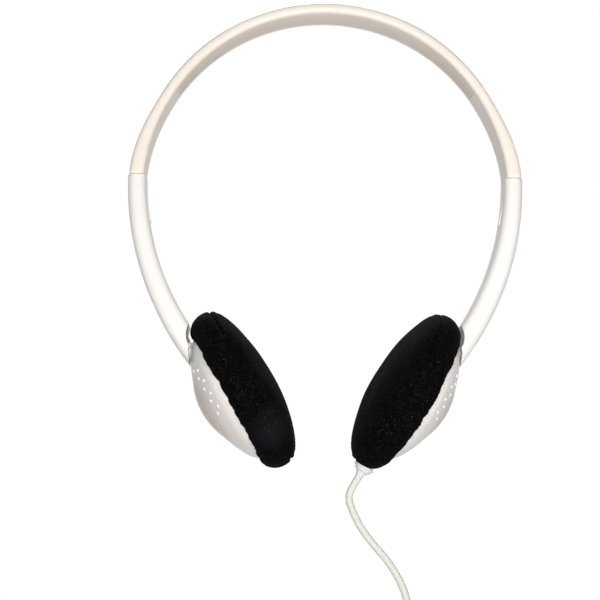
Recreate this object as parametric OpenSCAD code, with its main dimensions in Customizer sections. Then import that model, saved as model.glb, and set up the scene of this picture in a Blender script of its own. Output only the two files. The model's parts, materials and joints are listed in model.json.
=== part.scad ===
// Wired on-ear headphones: a sprung bow, two sliding arms, two cups on ball joints and a cord.
// Millimetres. +Z is up, X runs from cup to cup and +Y is the back.
// The origin is the centre of the headband's arc, on the middle of the band's width.

/* [Headband] */
// Outer radius of the band's arc
band_r = 69.2; // [67:0.1:73]
// Width of the band from front to back
band_w = 16.5; // [15:0.5:19]
// Thickness of the band over the crown
band_t = 3.8; // [3.6:0.1:4.6]
// Thickness of the band at its socket ends
band_end_t = 5.4; // [5.2:0.1:6.4]
// How far the socket ends swell outward
band_flare = 2.2; // [1.8:0.1:2.6]
// Corner radius of the band's section
band_round = 1; // [0.6:0.1:1.4]
// Angle from the crown to the joint with the arm
joint_angle = 86.5; // [85:0.5:88]
// Thickness of the liner strip
liner_t = 1.2; // [0.9:0.1:1.3]
// Width of the liner strip
liner_w = 11; // [9:0.5:12]
// Angle from the crown to each end of the liner
liner_angle = 56; // [50:1:58]

/* [Slide] */
// How far the arm pulls out of the band
slide_travel = 14; // [12:1:16]
// Length of strip that stays in the band when the arm is pulled out
slide_grip = 6; // [5.6:0.2:6.4]
// Outward lean of the slide from straight down
slide_lean = 14.5; // [13:0.5:16]
// Thickness of the strip
strip_t = 1.4; // [1.2:0.1:1.6]
// Width of the strip
strip_w = 8; // [7:0.5:9]
// Length of the strip held in the arm
strip_hold = 6; // [5:0.5:7]
// How far the strip lies inward of the middle of the joint
strip_inset = 0.1; // [0:0.1:0.3]
// Running clearance of the strip in its slot
slide_gap = 0.06; // [0.04:0.01:0.1]
// Distance from one detent notch to the next
notch_step = 4; // [3:0.5:5]
// Radius of a detent notch
notch_r = 0.7; // [0.5:0.1:0.9]
// Thickness of the detent spring's leaf
leaf_t = 0.4; // [0.3:0.1:0.5]
// Length of the detent spring
leaf_len = 4.8; // [4:0.2:5]
// Rise of the detent spring's bow
leaf_rise = 1; // [0.8:0.1:1.2]

/* [Arm] */
// Radius of the arm's inner face
arm_in_r = 99.3; // [96:0.1:103]
// Angle from the level of the arc's centre down to the arm's top
arm_start = 0.3; // [0:0.1:1]
// Angle from that level down to the ball joint
pivot_angle = 41; // [40:0.5:42]
// How far the ball's centre lies outward of the arm's inner face
pivot_depth = 3.4; // [3:0.1:3.8]
// Thickness of the arm at its top
arm_t = 6.4; // [6.2:0.1:7.2]
// Thickness of the arm at its lower end
arm_end_t = 8.8; // [8:0.1:9.6]
// Width of the arm from front to back at its top
arm_w = 15.5; // [14:0.5:16]
// Width of the arm at its lower end
arm_end_w = 11; // [10.5:0.5:12.5]
// Corner radius of the arm's section
arm_round = 3; // [2.4:0.1:3.1]
// Thickness of the arm's cover strip
cover_t = 1.2; // [1:0.1:1.3]
// Width of the arm's cover strip
cover_w = 6; // [5:0.5:7]
// Height of the thumb catch on the cover
catch_h = 0.8; // [0.6:0.1:1.4]
// Length of the thumb catch
catch_len = 9; // [7:0.5:11]

/* [Cup] */
// Lean of the cup's long axis from upright
cup_lean = 29.8; // [28:0.2:31]
// Radius of the cup's rim
cup_r = 28.5; // [28:0.1:29]
// Height of the straight rim
rim_h = 1; // [0.8:0.1:1.4]
// Radius of the corner between the cup's side and its dome
corner_r = 23.8; // [23.4:0.1:24.4]
// Depth of that corner behind the rim
side_h = 11.3; // [11:0.1:11.8]
// Slope of the dome's cone
dome_slope = 25.5; // [24:0.5:27]
// Radius of the crease where the cone meets the rounded cap
crease_r = 11; // [10:0.5:11.5]
// Height of the rounded cap
cap_h = 2.4; // [2:0.1:3]
// Wall of the cup
cup_wall = 1.8; // [1.5:0.1:2]
// Radius of a raised pip on the dome
pip_r = 0.6; // [0.4:0.1:0.7]
// Thickness of the baffle
baffle_t = 1.4; // [1.3:0.1:1.8]
// Radius of the circle of cup screws
screw_circle_r = 21.4; // [21:0.1:21.6]
// Radius of a cup screw's shank
screw_r = 1; // [0.8:0.1:1.2]
// Radius of a cup screw's head
screw_head_r = 1.9; // [1.6:0.1:2.1]
// Turn of the left cup on its stud as it rests
left_swivel = 1; // [-4:1:4]
// Turn of the right cup on its stud as it rests
right_swivel = 7; // [4:1:10]

/* [Ball joint] */
// Distance of the ball's centre from the cup's axis
pivot_u = 16.4; // [16:0.1:16.8]
// Lean of the stud from the cup's plane
stud_lean = 15.5; // [14:0.5:17]
// Radius of the ball
ball_r = 2.3; // [2.1:0.1:2.4]
// Radius of the stud's neck
neck_r = 1.2; // [1:0.1:1.3]
// Radius of the stud's shank in the arm
shank_r = 1.4; // [1.3:0.1:1.5]
// Distance from the ball's centre to the end of the shank
stud_len = 14; // [13:0.5:15]
// Thickness of the liner round the ball
ball_liner_t = 0.75; // [0.6:0.05:0.8]
// Running clearance of the ball and of its liner
ball_gap = 0.05; // [0.03:0.01:0.08]
// Wall between the socket and the outside of the dome
socket_wall = 1.1; // [0.9:0.1:1.2]
// Tilt of the cup with its top outward
tilt_out = 3; // [2:1:5]
// Tilt of the cup with its top inward
tilt_in = 6; // [4:1:9]
// Turn of a cup on its stud either way from square
swivel_max = 10; // [9:1:13]
// Clearance of the arm's end from the cup at the limits
cup_gap = 0.3; // [0.25:0.05:0.5]
// Radius of the round seat on the dome that the arm's end sits on
seat_r = 7; // [6.6:0.1:7.2]
// Clearance of the arm's end from that seat
seat_gap = 0.2; // [0.15:0.05:0.3]
// How far along the stud from the ball's centre the seat begins
seat_from = 4; // [3.5:0.1:4.5]

/* [Ear pad] */
// Radius of the pad
pad_r = 31; // [30.8:0.1:32]
// Crown of the pad in front of its seam
pad_crown = 9; // [8:0.1:11]
// Radius of the pad's crowned front
pad_front_r = 28.6; // [26:0.1:30]
// Foam in front of the baffle
pad_skin = 0.6; // [0.5:0.1:1.2]
// Radius at the bottom of the seam
seam_r = 29.4; // [29.3:0.1:29.7]
// Depth of the seam's groove
seam_depth = 0.5; // [0.2:0.1:0.8]
// Height of the pad's widest point behind its seam
pad_belly = 2.8; // [2.6:0.1:3.4]
// How far the lip ends in front of the cup's corner
lip_back = 1.7; // [1.2:0.1:2.4]
// Thickness of the lip's edge
lip_t = 0.2; // [0.1:0.1:0.5]
// Clearance of the pad from the cup
pad_gap = 0.2; // [0.15:0.05:0.4]

/* [Driver] */
// Radius of the driver's frame
driver_r = 14.2; // [13.6:0.1:14.2]
// Depth of the driver's frame
driver_h = 3.2; // [3:0.1:3.2]
// Radius of the yoke
yoke_r = 8; // [7.6:0.1:8.4]
// Depth of the yoke
yoke_h = 4.6; // [4.4:0.1:5.2]
// Wall of the yoke
yoke_wall = 1; // [0.9:0.1:1.1]
// Radius of the magnet
magnet_r = 5.5; // [5:0.1:5.6]
// Thickness of the magnet
magnet_t = 2; // [1.6:0.1:2.2]
// Thickness of the voice coil
voice_t = 0.5; // [0.3:0.1:0.5]
// Thickness of the diaphragm
diaphragm_t = 0.3; // [0.2:0.05:0.4]
// Thickness of the damping felt
felt_t = 0.5; // [0.3:0.1:0.6]
// Clearance of parts that drop into each other
fit_gap = 0.05; // [0.02:0.01:0.08]

/* [Cord] */
// Diameter of the cord
cord_d = 2.6; // [2.2:0.1:2.6]
// Diameter of the lead inside the band and the arms
lead_d = 1.3; // [1:0.1:1.4]
// Play of the lead in its channel
lead_gap = 0.15; // [0.1:0.05:0.2]
// Distance from the cup's axis to the gland's tip
gland_tip = 36.2; // [35.4:0.1:37]
// Radius of the gland at its wide end
gland_r = 3.2; // [2.8:0.1:3.4]
// Radius of the gland at its tip
gland_tip_r = 1.9; // [1.8:0.1:2.2]
// Distance of the gland behind the cup's rim
gland_depth = 3.8; // [3.6:0.1:4.2]
// Outer radius of the coil's middle line
coil_r = 19; // [18.6:0.1:20]
// Step from turn to turn and from layer to layer
coil_step = 3.2; // [3.15:0.05:3.3]
// Thickness of the tie round the coil
tie_t = 0.8; // [0.6:0.1:1.2]
// Width of the tie
tie_w = 5; // [4:0.5:7]
// Length of straight cord between the coil and the plug
tail_len = 22; // [20:1:26]

/* [Plug] */
// Radius of the plug's body
plug_r = 4.2; // [3.8:0.1:4.6]
// Length of the plug's body
plug_len = 26; // [22:1:30]
// Radius of the plug's pin
pin_r = 1.75; // [1.25, 1.75]
// Length of the plug's pin
pin_len = 14; // [12:0.5:15]

/* [Hidden] */
$fn = 64;
LEFT = -1;
RIGHT = 1;
ivory = "antiquewhite";
shade = "linen";
steel = "silver";
foam = "#181818";

// Joint of band and arm, on the right
flare_start = 60;
band_over = 6;
joint_r = band_r + band_flare - band_end_t / 2;
joint_p = [joint_r * sin(joint_angle), 0, joint_r * cos(joint_angle)];
joint_gap = 0.2;
strip_in = slide_travel + slide_grip;
slot_end = 1;
leaf_z = slide_grip / 2 + 0.1;
leaf_room = 0.12;

// Arm's arc, on the right, with its angles below the level of its centre as minus angles
arm_c = joint_p - (arm_in_r + arm_t / 2) * [cos(arm_start), 0, -sin(arm_start)];
arm_over = 4;
arm_taper = 47;
cover_from = -arm_start - 1.25;
cover_to = 8.5 - pivot_angle;
catch_at = -arm_start - 7.2;

// Cup's own frame has x along its long axis towards the arm and z towards the head
liner_r = ball_r + ball_gap + ball_liner_t;
socket_r = liner_r + ball_gap;
pivot_n = dome_n(pivot_u) + (socket_r + socket_wall) / cos(dome_slope);
pivot_c = [pivot_u, 0, pivot_n];
stud_axis = [cos(stud_lean), 0, -sin(stud_lean)];
pivot_r = arm_in_r + pivot_depth;
pivot_p = arm_c + pivot_r * [cos(pivot_angle), 0, -sin(pivot_angle)];
cup_p = pivot_p - cup_turned(pivot_c);
apex_n = dome_n(crease_r) - cap_h;
cap_r = (crease_r * crease_r + cap_h * cap_h) / (2 * cap_h);
boss_r = socket_r + 1.05;
boss_back = 3.8;
neck_room = 0.3;
neck_reach = 12;
screw_angles = [45, 135, 225, 315];
post_r = screw_r + 1.3;
screw_h = 6;
screw_head_h = 0.9;
gland_hole_r = gland_r - 0.5;
spigot_h = gland_depth - gland_hole_r - 0.1;

// Pad's section
lip_n = lip_back - side_h;
lip_in_r = corner_r + (cup_r - corner_r) * lip_back / (side_h - rim_h) + pad_gap;
lip_r = lip_in_r + lip_t;
pad_back = baffle_t + pad_gap;
pad_base = pad_back + pad_skin;
pad_edge_r = seam_r + seam_depth;
crown_power = 1.5;

// Driver's levels
frame_plate = 1.2;
yoke_top = -driver_h + frame_plate;
magnet_floor = yoke_top - yoke_h + yoke_wall;
plate_r = magnet_r + 0.3;
plate_top = yoke_top - 0.2;
voice_r = plate_r + 0.3;
diaphragm_n = -1.2;

// Cord's route from the gland's tip to the coil
gland_mouth = gland_tip - 2;
route = [
    [9.1, 1.8, -111], [10.9, 1.4, -117.3], [14, 1, -123], [18, 0.7, -128.2], [22.6, 0.5, -133.5],
    [27, 0.2, -140.4], [29.8, 0, -148], [31, 0, -157], [31, 0, -168]
];
route_end = route[len(route) - 1];
coil_turns = 2.625;
coil_layers = 4;
coil_rings = 24;
coil_dip = 0.6;
coil_in_r = coil_r - coil_step * coil_turns;
coil_c = route_end - [coil_r, 0, cord_d];
coil_top_y = coil_step * (coil_layers - 1);
plug_p = coil_c + [coil_r, coil_top_y, -tail_len];
tie_gap = 0.3;

// Vectors
function unit(v) = v / norm(v);
function turned(v, k, a) = v * cos(a) + cross(k, v) * sin(a) + k * (k * v) * (1 - cos(a));
function smooth(t) = t <= 0 ? 0 : t >= 1 ? 1 : t * t * (3 - 2 * t);

// Directions of the right cup's frame in the part's frame
function cup_turned(p) = turned(p, [0, 1, 0], cup_lean - 90);
function right_cup_point(p) = cup_p + cup_turned(pivot_c + turned(p - pivot_c, stud_axis, right_swivel));

// Depth of the dome's cone at radius r
function dome_n(r) = -side_h - (corner_r - r) * tan(dome_slope);

// Triangles that skin a row of rings with k points each, closed at both ends
function skin_faces(m, k) = concat(
    [for (i = [0 : m - 2], j = [0 : k - 1]) [i * k + j, i * k + (j + 1) % k, (i + 1) * k + j]],
    [for (i = [0 : m - 2], j = [0 : k - 1])
        [i * k + (j + 1) % k, (i + 1) * k + (j + 1) % k, (i + 1) * k + j]],
    [for (j = [1 : k - 2]) [0, j + 1, j]],
    [for (j = [1 : k - 2]) [(m - 1) * k, (m - 1) * k + j, (m - 1) * k + j + 1]]
);

// Points round a rectangle t by w with rounded corners
function rounded(t, w, r) = [for (corner = [[1, 1], [-1, 1], [-1, -1], [1, -1]], i = [0 : 4])
    let (a = (corner[0] * corner[1] > 0 ? 0 : 90) + (corner[1] > 0 ? 0 : 180) + 22.5 * i)
    [corner[0] * (t / 2 - r) + r * cos(a), corner[1] * (w / 2 - r) + r * sin(a)]];

// One ring of k points round a line's point p, square to direction t
function ring(p, t, side, r, k) = let (a = unit(side - t * (side * t)), b = cross(t, a))
    [for (j = [0 : k - 1]) p + r * (a * cos(360 * j / k) + b * sin(360 * j / k))];

module tube(points, dirs, sides, r, k) {
    rings = [for (i = [0 : len(points) - 1]) each ring(points[i], dirs[i], sides[i], r, k)];
    polyhedron(rings, skin_faces(len(points), k), convexity = 10);
}

// Places and turns
module on_side(side) {
    if (side == LEFT) mirror([1, 0, 0]) children();
    else children();
}

module slide_frame() {
    translate(joint_p) rotate([0, -slide_lean, 0]) children();
}

module cup_frame(swivel) {
    translate(cup_p) rotate([0, cup_lean - 90, 0])
        translate(pivot_c) rotate(swivel, stud_axis) translate(-pivot_c) children();
}

module cup_place(side) {
    on_side(side) cup_frame(side == LEFT ? left_swivel : right_swivel) children();
}

module stud_frame() {
    translate(pivot_c) rotate([0, 90 + stud_lean, 0]) children();
}

// Part of a ring about the Y axis, between two angles above the X axis
module sector(from, to) {
    rotate([90, 0, 0]) rotate([0, 0, from]) rotate_extrude(angle = to - from, $fn = 180) children();
}

module flat_section(r, t, w) {
    translate([r, -w / 2]) square([t, w]);
}

// Headband
function band_swell(a) = smooth((abs(a) - flare_start) / (joint_angle - flare_start));
function band_out(a) = band_r + band_flare * band_swell(a);
function band_thick(a) = band_t + (band_end_t - band_t) * band_swell(a);

module band_bow() {
    steps = 46;
    reach = joint_angle + band_over;
    points = [for (i = [0 : steps]) let (a = -reach + 2 * reach * i / steps, t = band_thick(a))
        each [for (p = rounded(t, band_w, band_round)) let (r = band_out(a) - t / 2 + p[0])
            [r * sin(a), p[1], r * cos(a)]]];
    polyhedron(points, skin_faces(steps + 1, len(rounded(1, 1, 0))), convexity = 10);
}

band_in_r = band_r - band_t;
lead_r = band_in_r + liner_t + lead_gap + lead_d / 2;
channel = lead_d + 2 * lead_gap;
slot_top = joint_p - strip_inset * [cos(slide_lean), 0, sin(slide_lean)]
    + (strip_in + slot_end) * [-sin(slide_lean), 0, cos(slide_lean)];
channel_over = 0.5;
channel_angle = atan2(slot_top[0], slot_top[2]) + channel_over;

module strip_slot() {
    slide_frame() {
        translate([-strip_inset - strip_t / 2 - slide_gap, -strip_w / 2 - slide_gap, -band_over])
            cube([strip_t + 2 * slide_gap, strip_w + 2 * slide_gap, strip_in + slot_end + band_over]);
        translate([-strip_inset - strip_t / 2, strip_w / 2, leaf_z - leaf_len / 2 - leaf_room])
            cube([strip_t, leaf_rise + leaf_t + 2 * leaf_room, leaf_len + 2 * leaf_room]);
    }
}

module past_joint() {
    translate(joint_p - band_w * [1, 1, 2]) cube(2 * band_w);
}

module headband_shell() {
    color(ivory) difference() {
        band_bow();
        sector(90 - liner_angle, 90 + liner_angle)
            flat_section(band_in_r - 2, liner_t + 2, liner_w);
        sector(90 - channel_angle, 90 + channel_angle)
            flat_section(band_in_r + liner_t - 0.01, channel, channel);
        for (side = [LEFT, RIGHT]) on_side(side) {
            past_joint();
            strip_slot();
        }
    }
}

module headband_liner() {
    trim = 0.1;
    color(shade) sector(90 - liner_angle + trim, 90 + liner_angle - trim)
        flat_section(band_in_r, liner_t, liner_w - 2 * trim);
}

module crossover_lead() {
    lead_angle = channel_angle - 1.5;
    color("dimgray") sector(90 - lead_angle, 90 + lead_angle) translate([lead_r, 0])
        circle(d = lead_d, $fn = 24);
}

module detent_spring() {
    bow_r = (leaf_len * leaf_len / 4 + leaf_rise * leaf_rise) / (2 * leaf_rise);
    half = asin(leaf_len / 2 / bow_r);
    color(steel) slide_frame()
        translate([-strip_inset, strip_w / 2 + leaf_room + bow_r, leaf_z]) rotate([0, 90, 0])
            rotate([0, 0, 270 - half]) rotate_extrude(angle = 2 * half)
                translate([bow_r - leaf_t, -strip_t * 0.4]) square([leaf_t, strip_t * 0.8]);
}

// Arms
module slide_strip() {
    color(steel) slide_frame() difference() {
        translate([-strip_inset - strip_t / 2, -strip_w / 2, -strip_hold])
            cube([strip_t, strip_w, strip_in + strip_hold]);
        for (z = [leaf_z : notch_step : leaf_z + slide_travel])
            translate([-strip_inset, strip_w / 2, z]) rotate([0, 90, 0])
                cylinder(r = notch_r, h = 2 * strip_t, center = true);
    }
}

function arm_share(a) = (-arm_start - a) / arm_taper;

module arm_bow() {
    steps = 24;
    from = arm_over - arm_start;
    to = -pivot_angle - 3;
    points = [for (i = [0 : steps]) let (a = from + (to - from) * i / steps, share = arm_share(a),
        t = arm_t + (arm_end_t - arm_t) * share, w = arm_w + (arm_end_w - arm_w) * share)
        each [for (p = rounded(t, w, arm_round)) let (r = arm_in_r + t / 2 + p[0])
            arm_c + [r * cos(a), p[1], r * sin(a)]]];
    polyhedron(points, skin_faces(steps + 1, len(rounded(1, 1, 0))), convexity = 10);
}

// Space that the dome sweeps at the limits of the ball joint
module dome_sweep() {
    for (tilt = [tilt_out, -tilt_in], turn = [-swivel_max, 0, swivel_max])
        cup_frame(0) translate(pivot_c) rotate([0, tilt, 0]) rotate(turn, stud_axis)
            translate(-pivot_c) dome_side(-cup_gap, cup_r, -cup_r, cup_r / 2, cup_r);
}

// Block on the dome's extended cone, from height z0 to z1 above it and x0 to x1 along it
module dome_side(z0, z1, x0, x1, w) {
    translate([corner_r, 0, -side_h]) rotate([0, -dome_slope, 0])
        translate([x0, -w / 2, z0]) cube([x1 - x0, w, z1 - z0]);
}

module arm_shell() {
    color(ivory) difference() {
        arm_bow();
        translate(joint_p - [arm_w, arm_w, joint_gap]) cube(2 * arm_w);
        slide_frame() translate([-strip_inset - strip_t / 2, -strip_w / 2, -strip_hold])
            cube([strip_t, strip_w, strip_hold + arm_t]);
        translate(arm_c) sector(cover_to, cover_from) {
            flat_section(arm_in_r - 1, cover_t + 1, cover_w);
            flat_section(arm_in_r, cover_t + channel, channel);
        }
        dome_sweep();
        cup_frame(0) translate(pivot_c) sphere(seat_r + seat_gap);
        cup_frame(0) stud_frame() cylinder(r = shank_r, h = stud_len);
    }
}

module arm_cover() {
    trim = 0.1;
    half = catch_len / 2 / arm_in_r * 180 / PI;
    color(shade) translate(arm_c) {
        sector(cover_to + 0.1, cover_from - 0.1) flat_section(arm_in_r, cover_t, cover_w - 2 * trim);
        sector(catch_at - half, catch_at + half) polygon([
            [arm_in_r + cover_t / 2, -cover_w / 3], [arm_in_r - catch_h, -cover_w / 4],
            [arm_in_r - catch_h, cover_w / 4], [arm_in_r + cover_t / 2, cover_w / 3]]);
    }
}

module arm_lead() {
    color("dimgray") translate(arm_c) sector(cover_to + 0.5, cover_from - 0.5)
        translate([arm_in_r + cover_t + lead_gap + lead_d / 2, 0]) circle(d = lead_d, $fn = 24);
}

module ball_stud() {
    neck_end = stud_len - 6;
    color(steel) cup_frame(0) stud_frame() {
        sphere(ball_r);
        cylinder(r = neck_r, h = stud_len);
        translate([0, 0, neck_end]) cylinder(r = shank_r, h = stud_len - neck_end);
    }
}

// Flared way for the stud's neck, which leans as the cup tilts
module neck_way() {
    flare = neck_reach * tan(max(tilt_in, tilt_out) + 1);
    cylinder(r1 = neck_r + neck_room, r2 = neck_r + neck_room + flare, h = neck_reach);
}

module ball_liner() {
    color("dimgray") cup_frame(0) stud_frame() difference() {
        sphere(liner_r);
        sphere(ball_r + ball_gap);
        neck_way();
    }
}

// Cups
module cup_solid() {
    rotate_extrude($fn = 128) polygon(concat(
        [[0, 0], [cup_r, 0], [cup_r, -rim_h], [corner_r, -side_h]],
        [for (i = [0 : 6]) let (a = asin(crease_r / cap_r) * (1 - i / 6))
            [cap_r * sin(a), apex_n + cap_r - cap_r * cos(a)]]));
}

module cup_hollow() {
    side_in = unit([-(side_h - rim_h), cup_r - corner_r]);
    dome_in = [-sin(dome_slope), cos(dome_slope)];
    corner_in = [corner_r, -side_h] + cup_wall * (side_in + dome_in) / (1 + side_in * dome_in);
    rotate_extrude($fn = 128) polygon([
        [0, 1], [cup_r - cup_wall, 1], [cup_r - cup_wall, -rim_h], corner_in,
        [crease_r, dome_n(crease_r) + cup_wall / cos(dome_slope)], [0, apex_n + cup_wall]]);
}

module pips() {
    rings = [[19.5, 50, 15.5, 4], [17, 38, 16.5, 5]];
    for (ring = rings, i = [0 : ring[3] - 1], side = [-1, 1])
        rotate([0, 0, side * (ring[1] + ring[2] * i)]) translate([ring[0], 0, dome_n(ring[0]) + pip_r / 2])
            sphere(pip_r, $fn = 24);
}

module gland_axis() {
    translate([0, 0, -gland_depth]) rotate([0, -90, 0]) children();
}

module cup_shell(corded) {
    color(ivory) difference() {
        union() {
            difference() {
                cup_solid();
                cup_hollow();
            }
            intersection() {
                cup_solid();
                union() {
                    stud_frame() translate([0, 0, -boss_back]) cylinder(r = boss_r, h = boss_back + 8);
                    for (a = screw_angles) rotate([0, 0, a])
                        translate([screw_circle_r, 0, -2 * side_h]) cylinder(r = post_r, h = 2 * side_h);
                }
            }
            intersection() {
                translate(pivot_c) sphere(seat_r);
                dome_side(-seat_r, cup_wall / 2, -cup_r, 0, cup_r);
                stud_frame() translate([0, 0, seat_from]) cylinder(r = seat_r, h = seat_r);
            }
            pips();
        }
        stud_frame() {
            sphere(socket_r);
            translate([0, 0, -boss_back - 1]) cylinder(r = socket_r, h = boss_back + 1);
            neck_way();
        }
        for (a = screw_angles) rotate([0, 0, a]) translate([screw_circle_r, 0, -screw_h])
            cylinder(r = screw_r, h = screw_h + 1);
        if (corded) gland_axis() cylinder(r = gland_hole_r, h = gland_tip);
    }
}

module socket_cap() {
    color("dimgray") stud_frame() difference() {
        translate([0, 0, -boss_back]) cylinder(r = socket_r - fit_gap, h = boss_back - 1.2);
        sphere(socket_r);
    }
}

module baffle() {
    ring_w = 1.2;
    hole_r = 0.9;
    spigot_r = cup_r - cup_wall - 0.6;
    seat_h = 1.6;
    color("#2b2b2b") difference() {
        union() {
            cylinder(r = cup_r - 0.3, h = baffle_t, $fn = 128);
            translate([0, 0, -spigot_h]) difference() {
                cylinder(r = spigot_r, h = spigot_h + 0.1, $fn = 128);
                translate([0, 0, -1]) cylinder(r = spigot_r - ring_w, h = spigot_h + 2, $fn = 128);
            }
            translate([0, 0, -seat_h]) difference() {
                cylinder(r = driver_r + fit_gap + ring_w, h = seat_h + 0.1);
                translate([0, 0, -1]) cylinder(r = driver_r + fit_gap, h = seat_h + 2);
            }
        }
        for (row = [0 : 2], i = [0 : max(0, 6 * row - 1)]) rotate([0, 0, 60 * i / max(1, row)])
            translate([3.6 * row, 0, -1]) cylinder(r = hole_r, h = baffle_t + 2, $fn = 24);
        for (a = screw_angles) rotate([0, 0, a]) translate([screw_circle_r, 0, 0]) {
            translate([0, 0, -1]) cylinder(r = screw_r + fit_gap, h = baffle_t + 2);
            translate([0, 0, baffle_t - screw_head_h]) cylinder(r = screw_head_r + fit_gap, h = baffle_t);
        }
    }
}

module cup_screws() {
    color(steel) for (a = screw_angles) rotate([0, 0, a]) translate([screw_circle_r, 0, 0]) {
        translate([0, 0, -screw_h + 0.5]) cylinder(r = screw_r - 0.02, h = screw_h);
        translate([0, 0, baffle_t - screw_head_h]) difference() {
            cylinder(r = screw_head_r, h = screw_head_h);
            translate([-screw_head_r, -0.25, screw_head_h / 2]) cube([2 * screw_head_r, 0.5, screw_head_h]);
        }
    }
}

// Driver
module driver_frame() {
    color("#3a3a3a") difference() {
        translate([0, 0, -driver_h]) cylinder(r = driver_r, h = driver_h);
        translate([0, 0, yoke_top]) cylinder(r = driver_r - 0.9, h = driver_h);
        translate([0, 0, -driver_h - 1]) cylinder(r = yoke_r, h = driver_h + 2);
        for (i = [0 : 5]) rotate([0, 0, 60 * i + 30]) translate([(yoke_r + driver_r) / 2, 0, -driver_h - 1])
            cylinder(r = 1.2, h = driver_h + 2);
    }
}

module driver_yoke() {
    color(steel) difference() {
        translate([0, 0, yoke_top - yoke_h]) cylinder(r = yoke_r, h = yoke_h);
        translate([0, 0, magnet_floor]) cylinder(r = yoke_r - yoke_wall, h = yoke_h);
    }
}

module driver_magnet() {
    color("dimgray") translate([0, 0, magnet_floor]) cylinder(r = magnet_r, h = magnet_t);
}

module driver_plate() {
    color(steel) translate([0, 0, magnet_floor + magnet_t])
        cylinder(r = plate_r, h = plate_top - magnet_floor - magnet_t);
}

module voice_coil() {
    color("peru") translate([0, 0, plate_top - 1.5]) difference() {
        cylinder(r = voice_r + voice_t, h = diaphragm_n - plate_top + 1.5);
        translate([0, 0, -1]) cylinder(r = voice_r, h = 5);
    }
}

module diaphragm() {
    edge_r = driver_r - 1;
    color("lightblue") difference() {
        translate([0, 0, yoke_top]) cylinder(r = edge_r, h = diaphragm_n + diaphragm_t - yoke_top);
        translate([0, 0, yoke_top - 1]) cylinder(r = edge_r - 0.7, h = diaphragm_n - yoke_top + 1);
    }
}

module damping_felt() {
    color("#505050") translate([0, 0, -driver_h - felt_t]) difference() {
        cylinder(r = driver_r - 0.8, h = felt_t);
        translate([0, 0, -1]) cylinder(r = yoke_r + 0.3, h = felt_t + 2);
        rotate([0, 0, 180]) translate([yoke_r, -4.2, -1]) cube([driver_r, 8.4, felt_t + 2]);
    }
}

module terminal_board() {
    color("darkgreen") translate([-driver_r + 0.6, -3.6, -driver_h - 1])
        cube([driver_r - yoke_r - 1, 7.2, 1]);
}

// Ear pad
module ear_pad(corded) {
    belly_r = pad_r - lip_r;
    belly_h = -pad_belly - lip_n;
    seam_t = asin(min(1, pad_belly / belly_h));
    color(foam) difference() {
        rotate_extrude($fn = 128) polygon(concat(
            [for (t = [90 : -10 : 0])
                [pad_front_r * cos(t), pad_base + (pad_crown - pad_base) * pow(sin(t), crown_power)]],
            [[seam_r, pad_back + pad_gap], [pad_edge_r, seam_depth], [seam_r, 0]],
            [for (i = [1 : 9]) let (t = seam_t * 0.85 - (90 + seam_t * 0.85) * i / 9)
                [lip_r + belly_r * cos(t), -pad_belly + belly_h * sin(t)]],
            [[lip_in_r, lip_n], [cup_r + pad_gap, -rim_h], [cup_r + pad_gap, pad_back], [0, pad_back]]));
        if (corded) gland_axis() cylinder(r = gland_r + pad_gap, h = gland_tip);
    }
}

// Cord
module cord_gland() {
    flange_at = corner_r - 2;
    barrel_r = gland_hole_r - fit_gap;
    color(shade) cup_frame(right_swivel) gland_axis() difference() {
        union() {
            translate([0, 0, flange_at]) cylinder(r = gland_r + 0.4, h = 0.9);
            translate([0, 0, flange_at]) cylinder(r = barrel_r, h = cup_r + 1 - flange_at);
            translate([0, 0, cup_r + 0.2]) cylinder(r = gland_r, h = pad_r - cup_r);
            translate([0, 0, pad_r + 0.2])
                cylinder(r1 = gland_r, r2 = gland_tip_r, h = gland_tip - pad_r - 0.2);
        }
        cylinder(d = cord_d + 2 * fit_gap, h = 2 * gland_tip);
    }
}

// Points of the cord's free stretch, with those between the chosen ones on smooth curves
cord_start = [for (u = [gland_mouth, gland_tip]) right_cup_point([-u, 0, -gland_depth])];
cord_line = concat(cord_start, route);
function along(line, i, t) = let (last = len(line) - 1, a = line[max(0, i - 1)], b = line[i],
    c = line[min(last, i + 1)], d = line[min(last, i + 2)])
    0.5 * (2 * b + (c - a) * t + (2 * a - 5 * b + 4 * c - d) * t * t + (3 * b - a - 3 * c + d) * t * t * t);

module cord_stretch() {
    last = len(cord_line) - 1;
    points = concat([cord_line[0]],
        [for (i = [1 : last - 1], t = [0, 0.5]) along(cord_line, i, t)], [cord_line[last]]);
    n = len(points) - 1;
    dirs = [for (i = [0 : n]) i == 0 ? unit(points[1] - points[0]) : i == n ? [0, 0, -1]
        : unit(points[i + 1] - points[i - 1])];
    color(ivory) tube(points, dirs, [for (p = points) [0, 1, 0]], cord_d / 2, 8);
}

// Coil: layers that spiral in and out, with a half turn of climb between two layers
coil_part = coil_turns + 0.5;
coil_total = coil_layers * coil_part - 0.5;
function coil_spot(turn) = let (layer = min(coil_layers - 1, floor(turn / coil_part)),
    t = turn - layer * coil_part, inward = layer % 2 == 0, climb = max(0, (t - coil_turns) / 0.5),
    run = min(t, coil_turns) * coil_step, dip = coil_dip * sin(180 * climb))
    [inward ? coil_r - run - dip : coil_in_r + run + dip, coil_step * (layer + smooth(climb))];
function coil_at(turn) = let (spot = coil_spot(turn))
    coil_c + [spot[0] * cos(360 * turn), spot[1], -spot[0] * sin(360 * turn)];
coil_points = [for (i = [0 : coil_total * coil_rings]) coil_at(i / coil_rings)];
coil_line = concat([route_end], coil_points, [plug_p]);

module cord_coil() {
    n = len(coil_line) - 1;
    dirs = [for (i = [0 : n]) i < 2 || i > n - 2 ? [0, 0, -1] : unit(coil_line[i + 1] - coil_line[i - 1])];
    sides = [for (p = coil_line) [0, 1, 0]];
    color(ivory) tube(coil_line, dirs, sides, cord_d / 2, 6);
}

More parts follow.
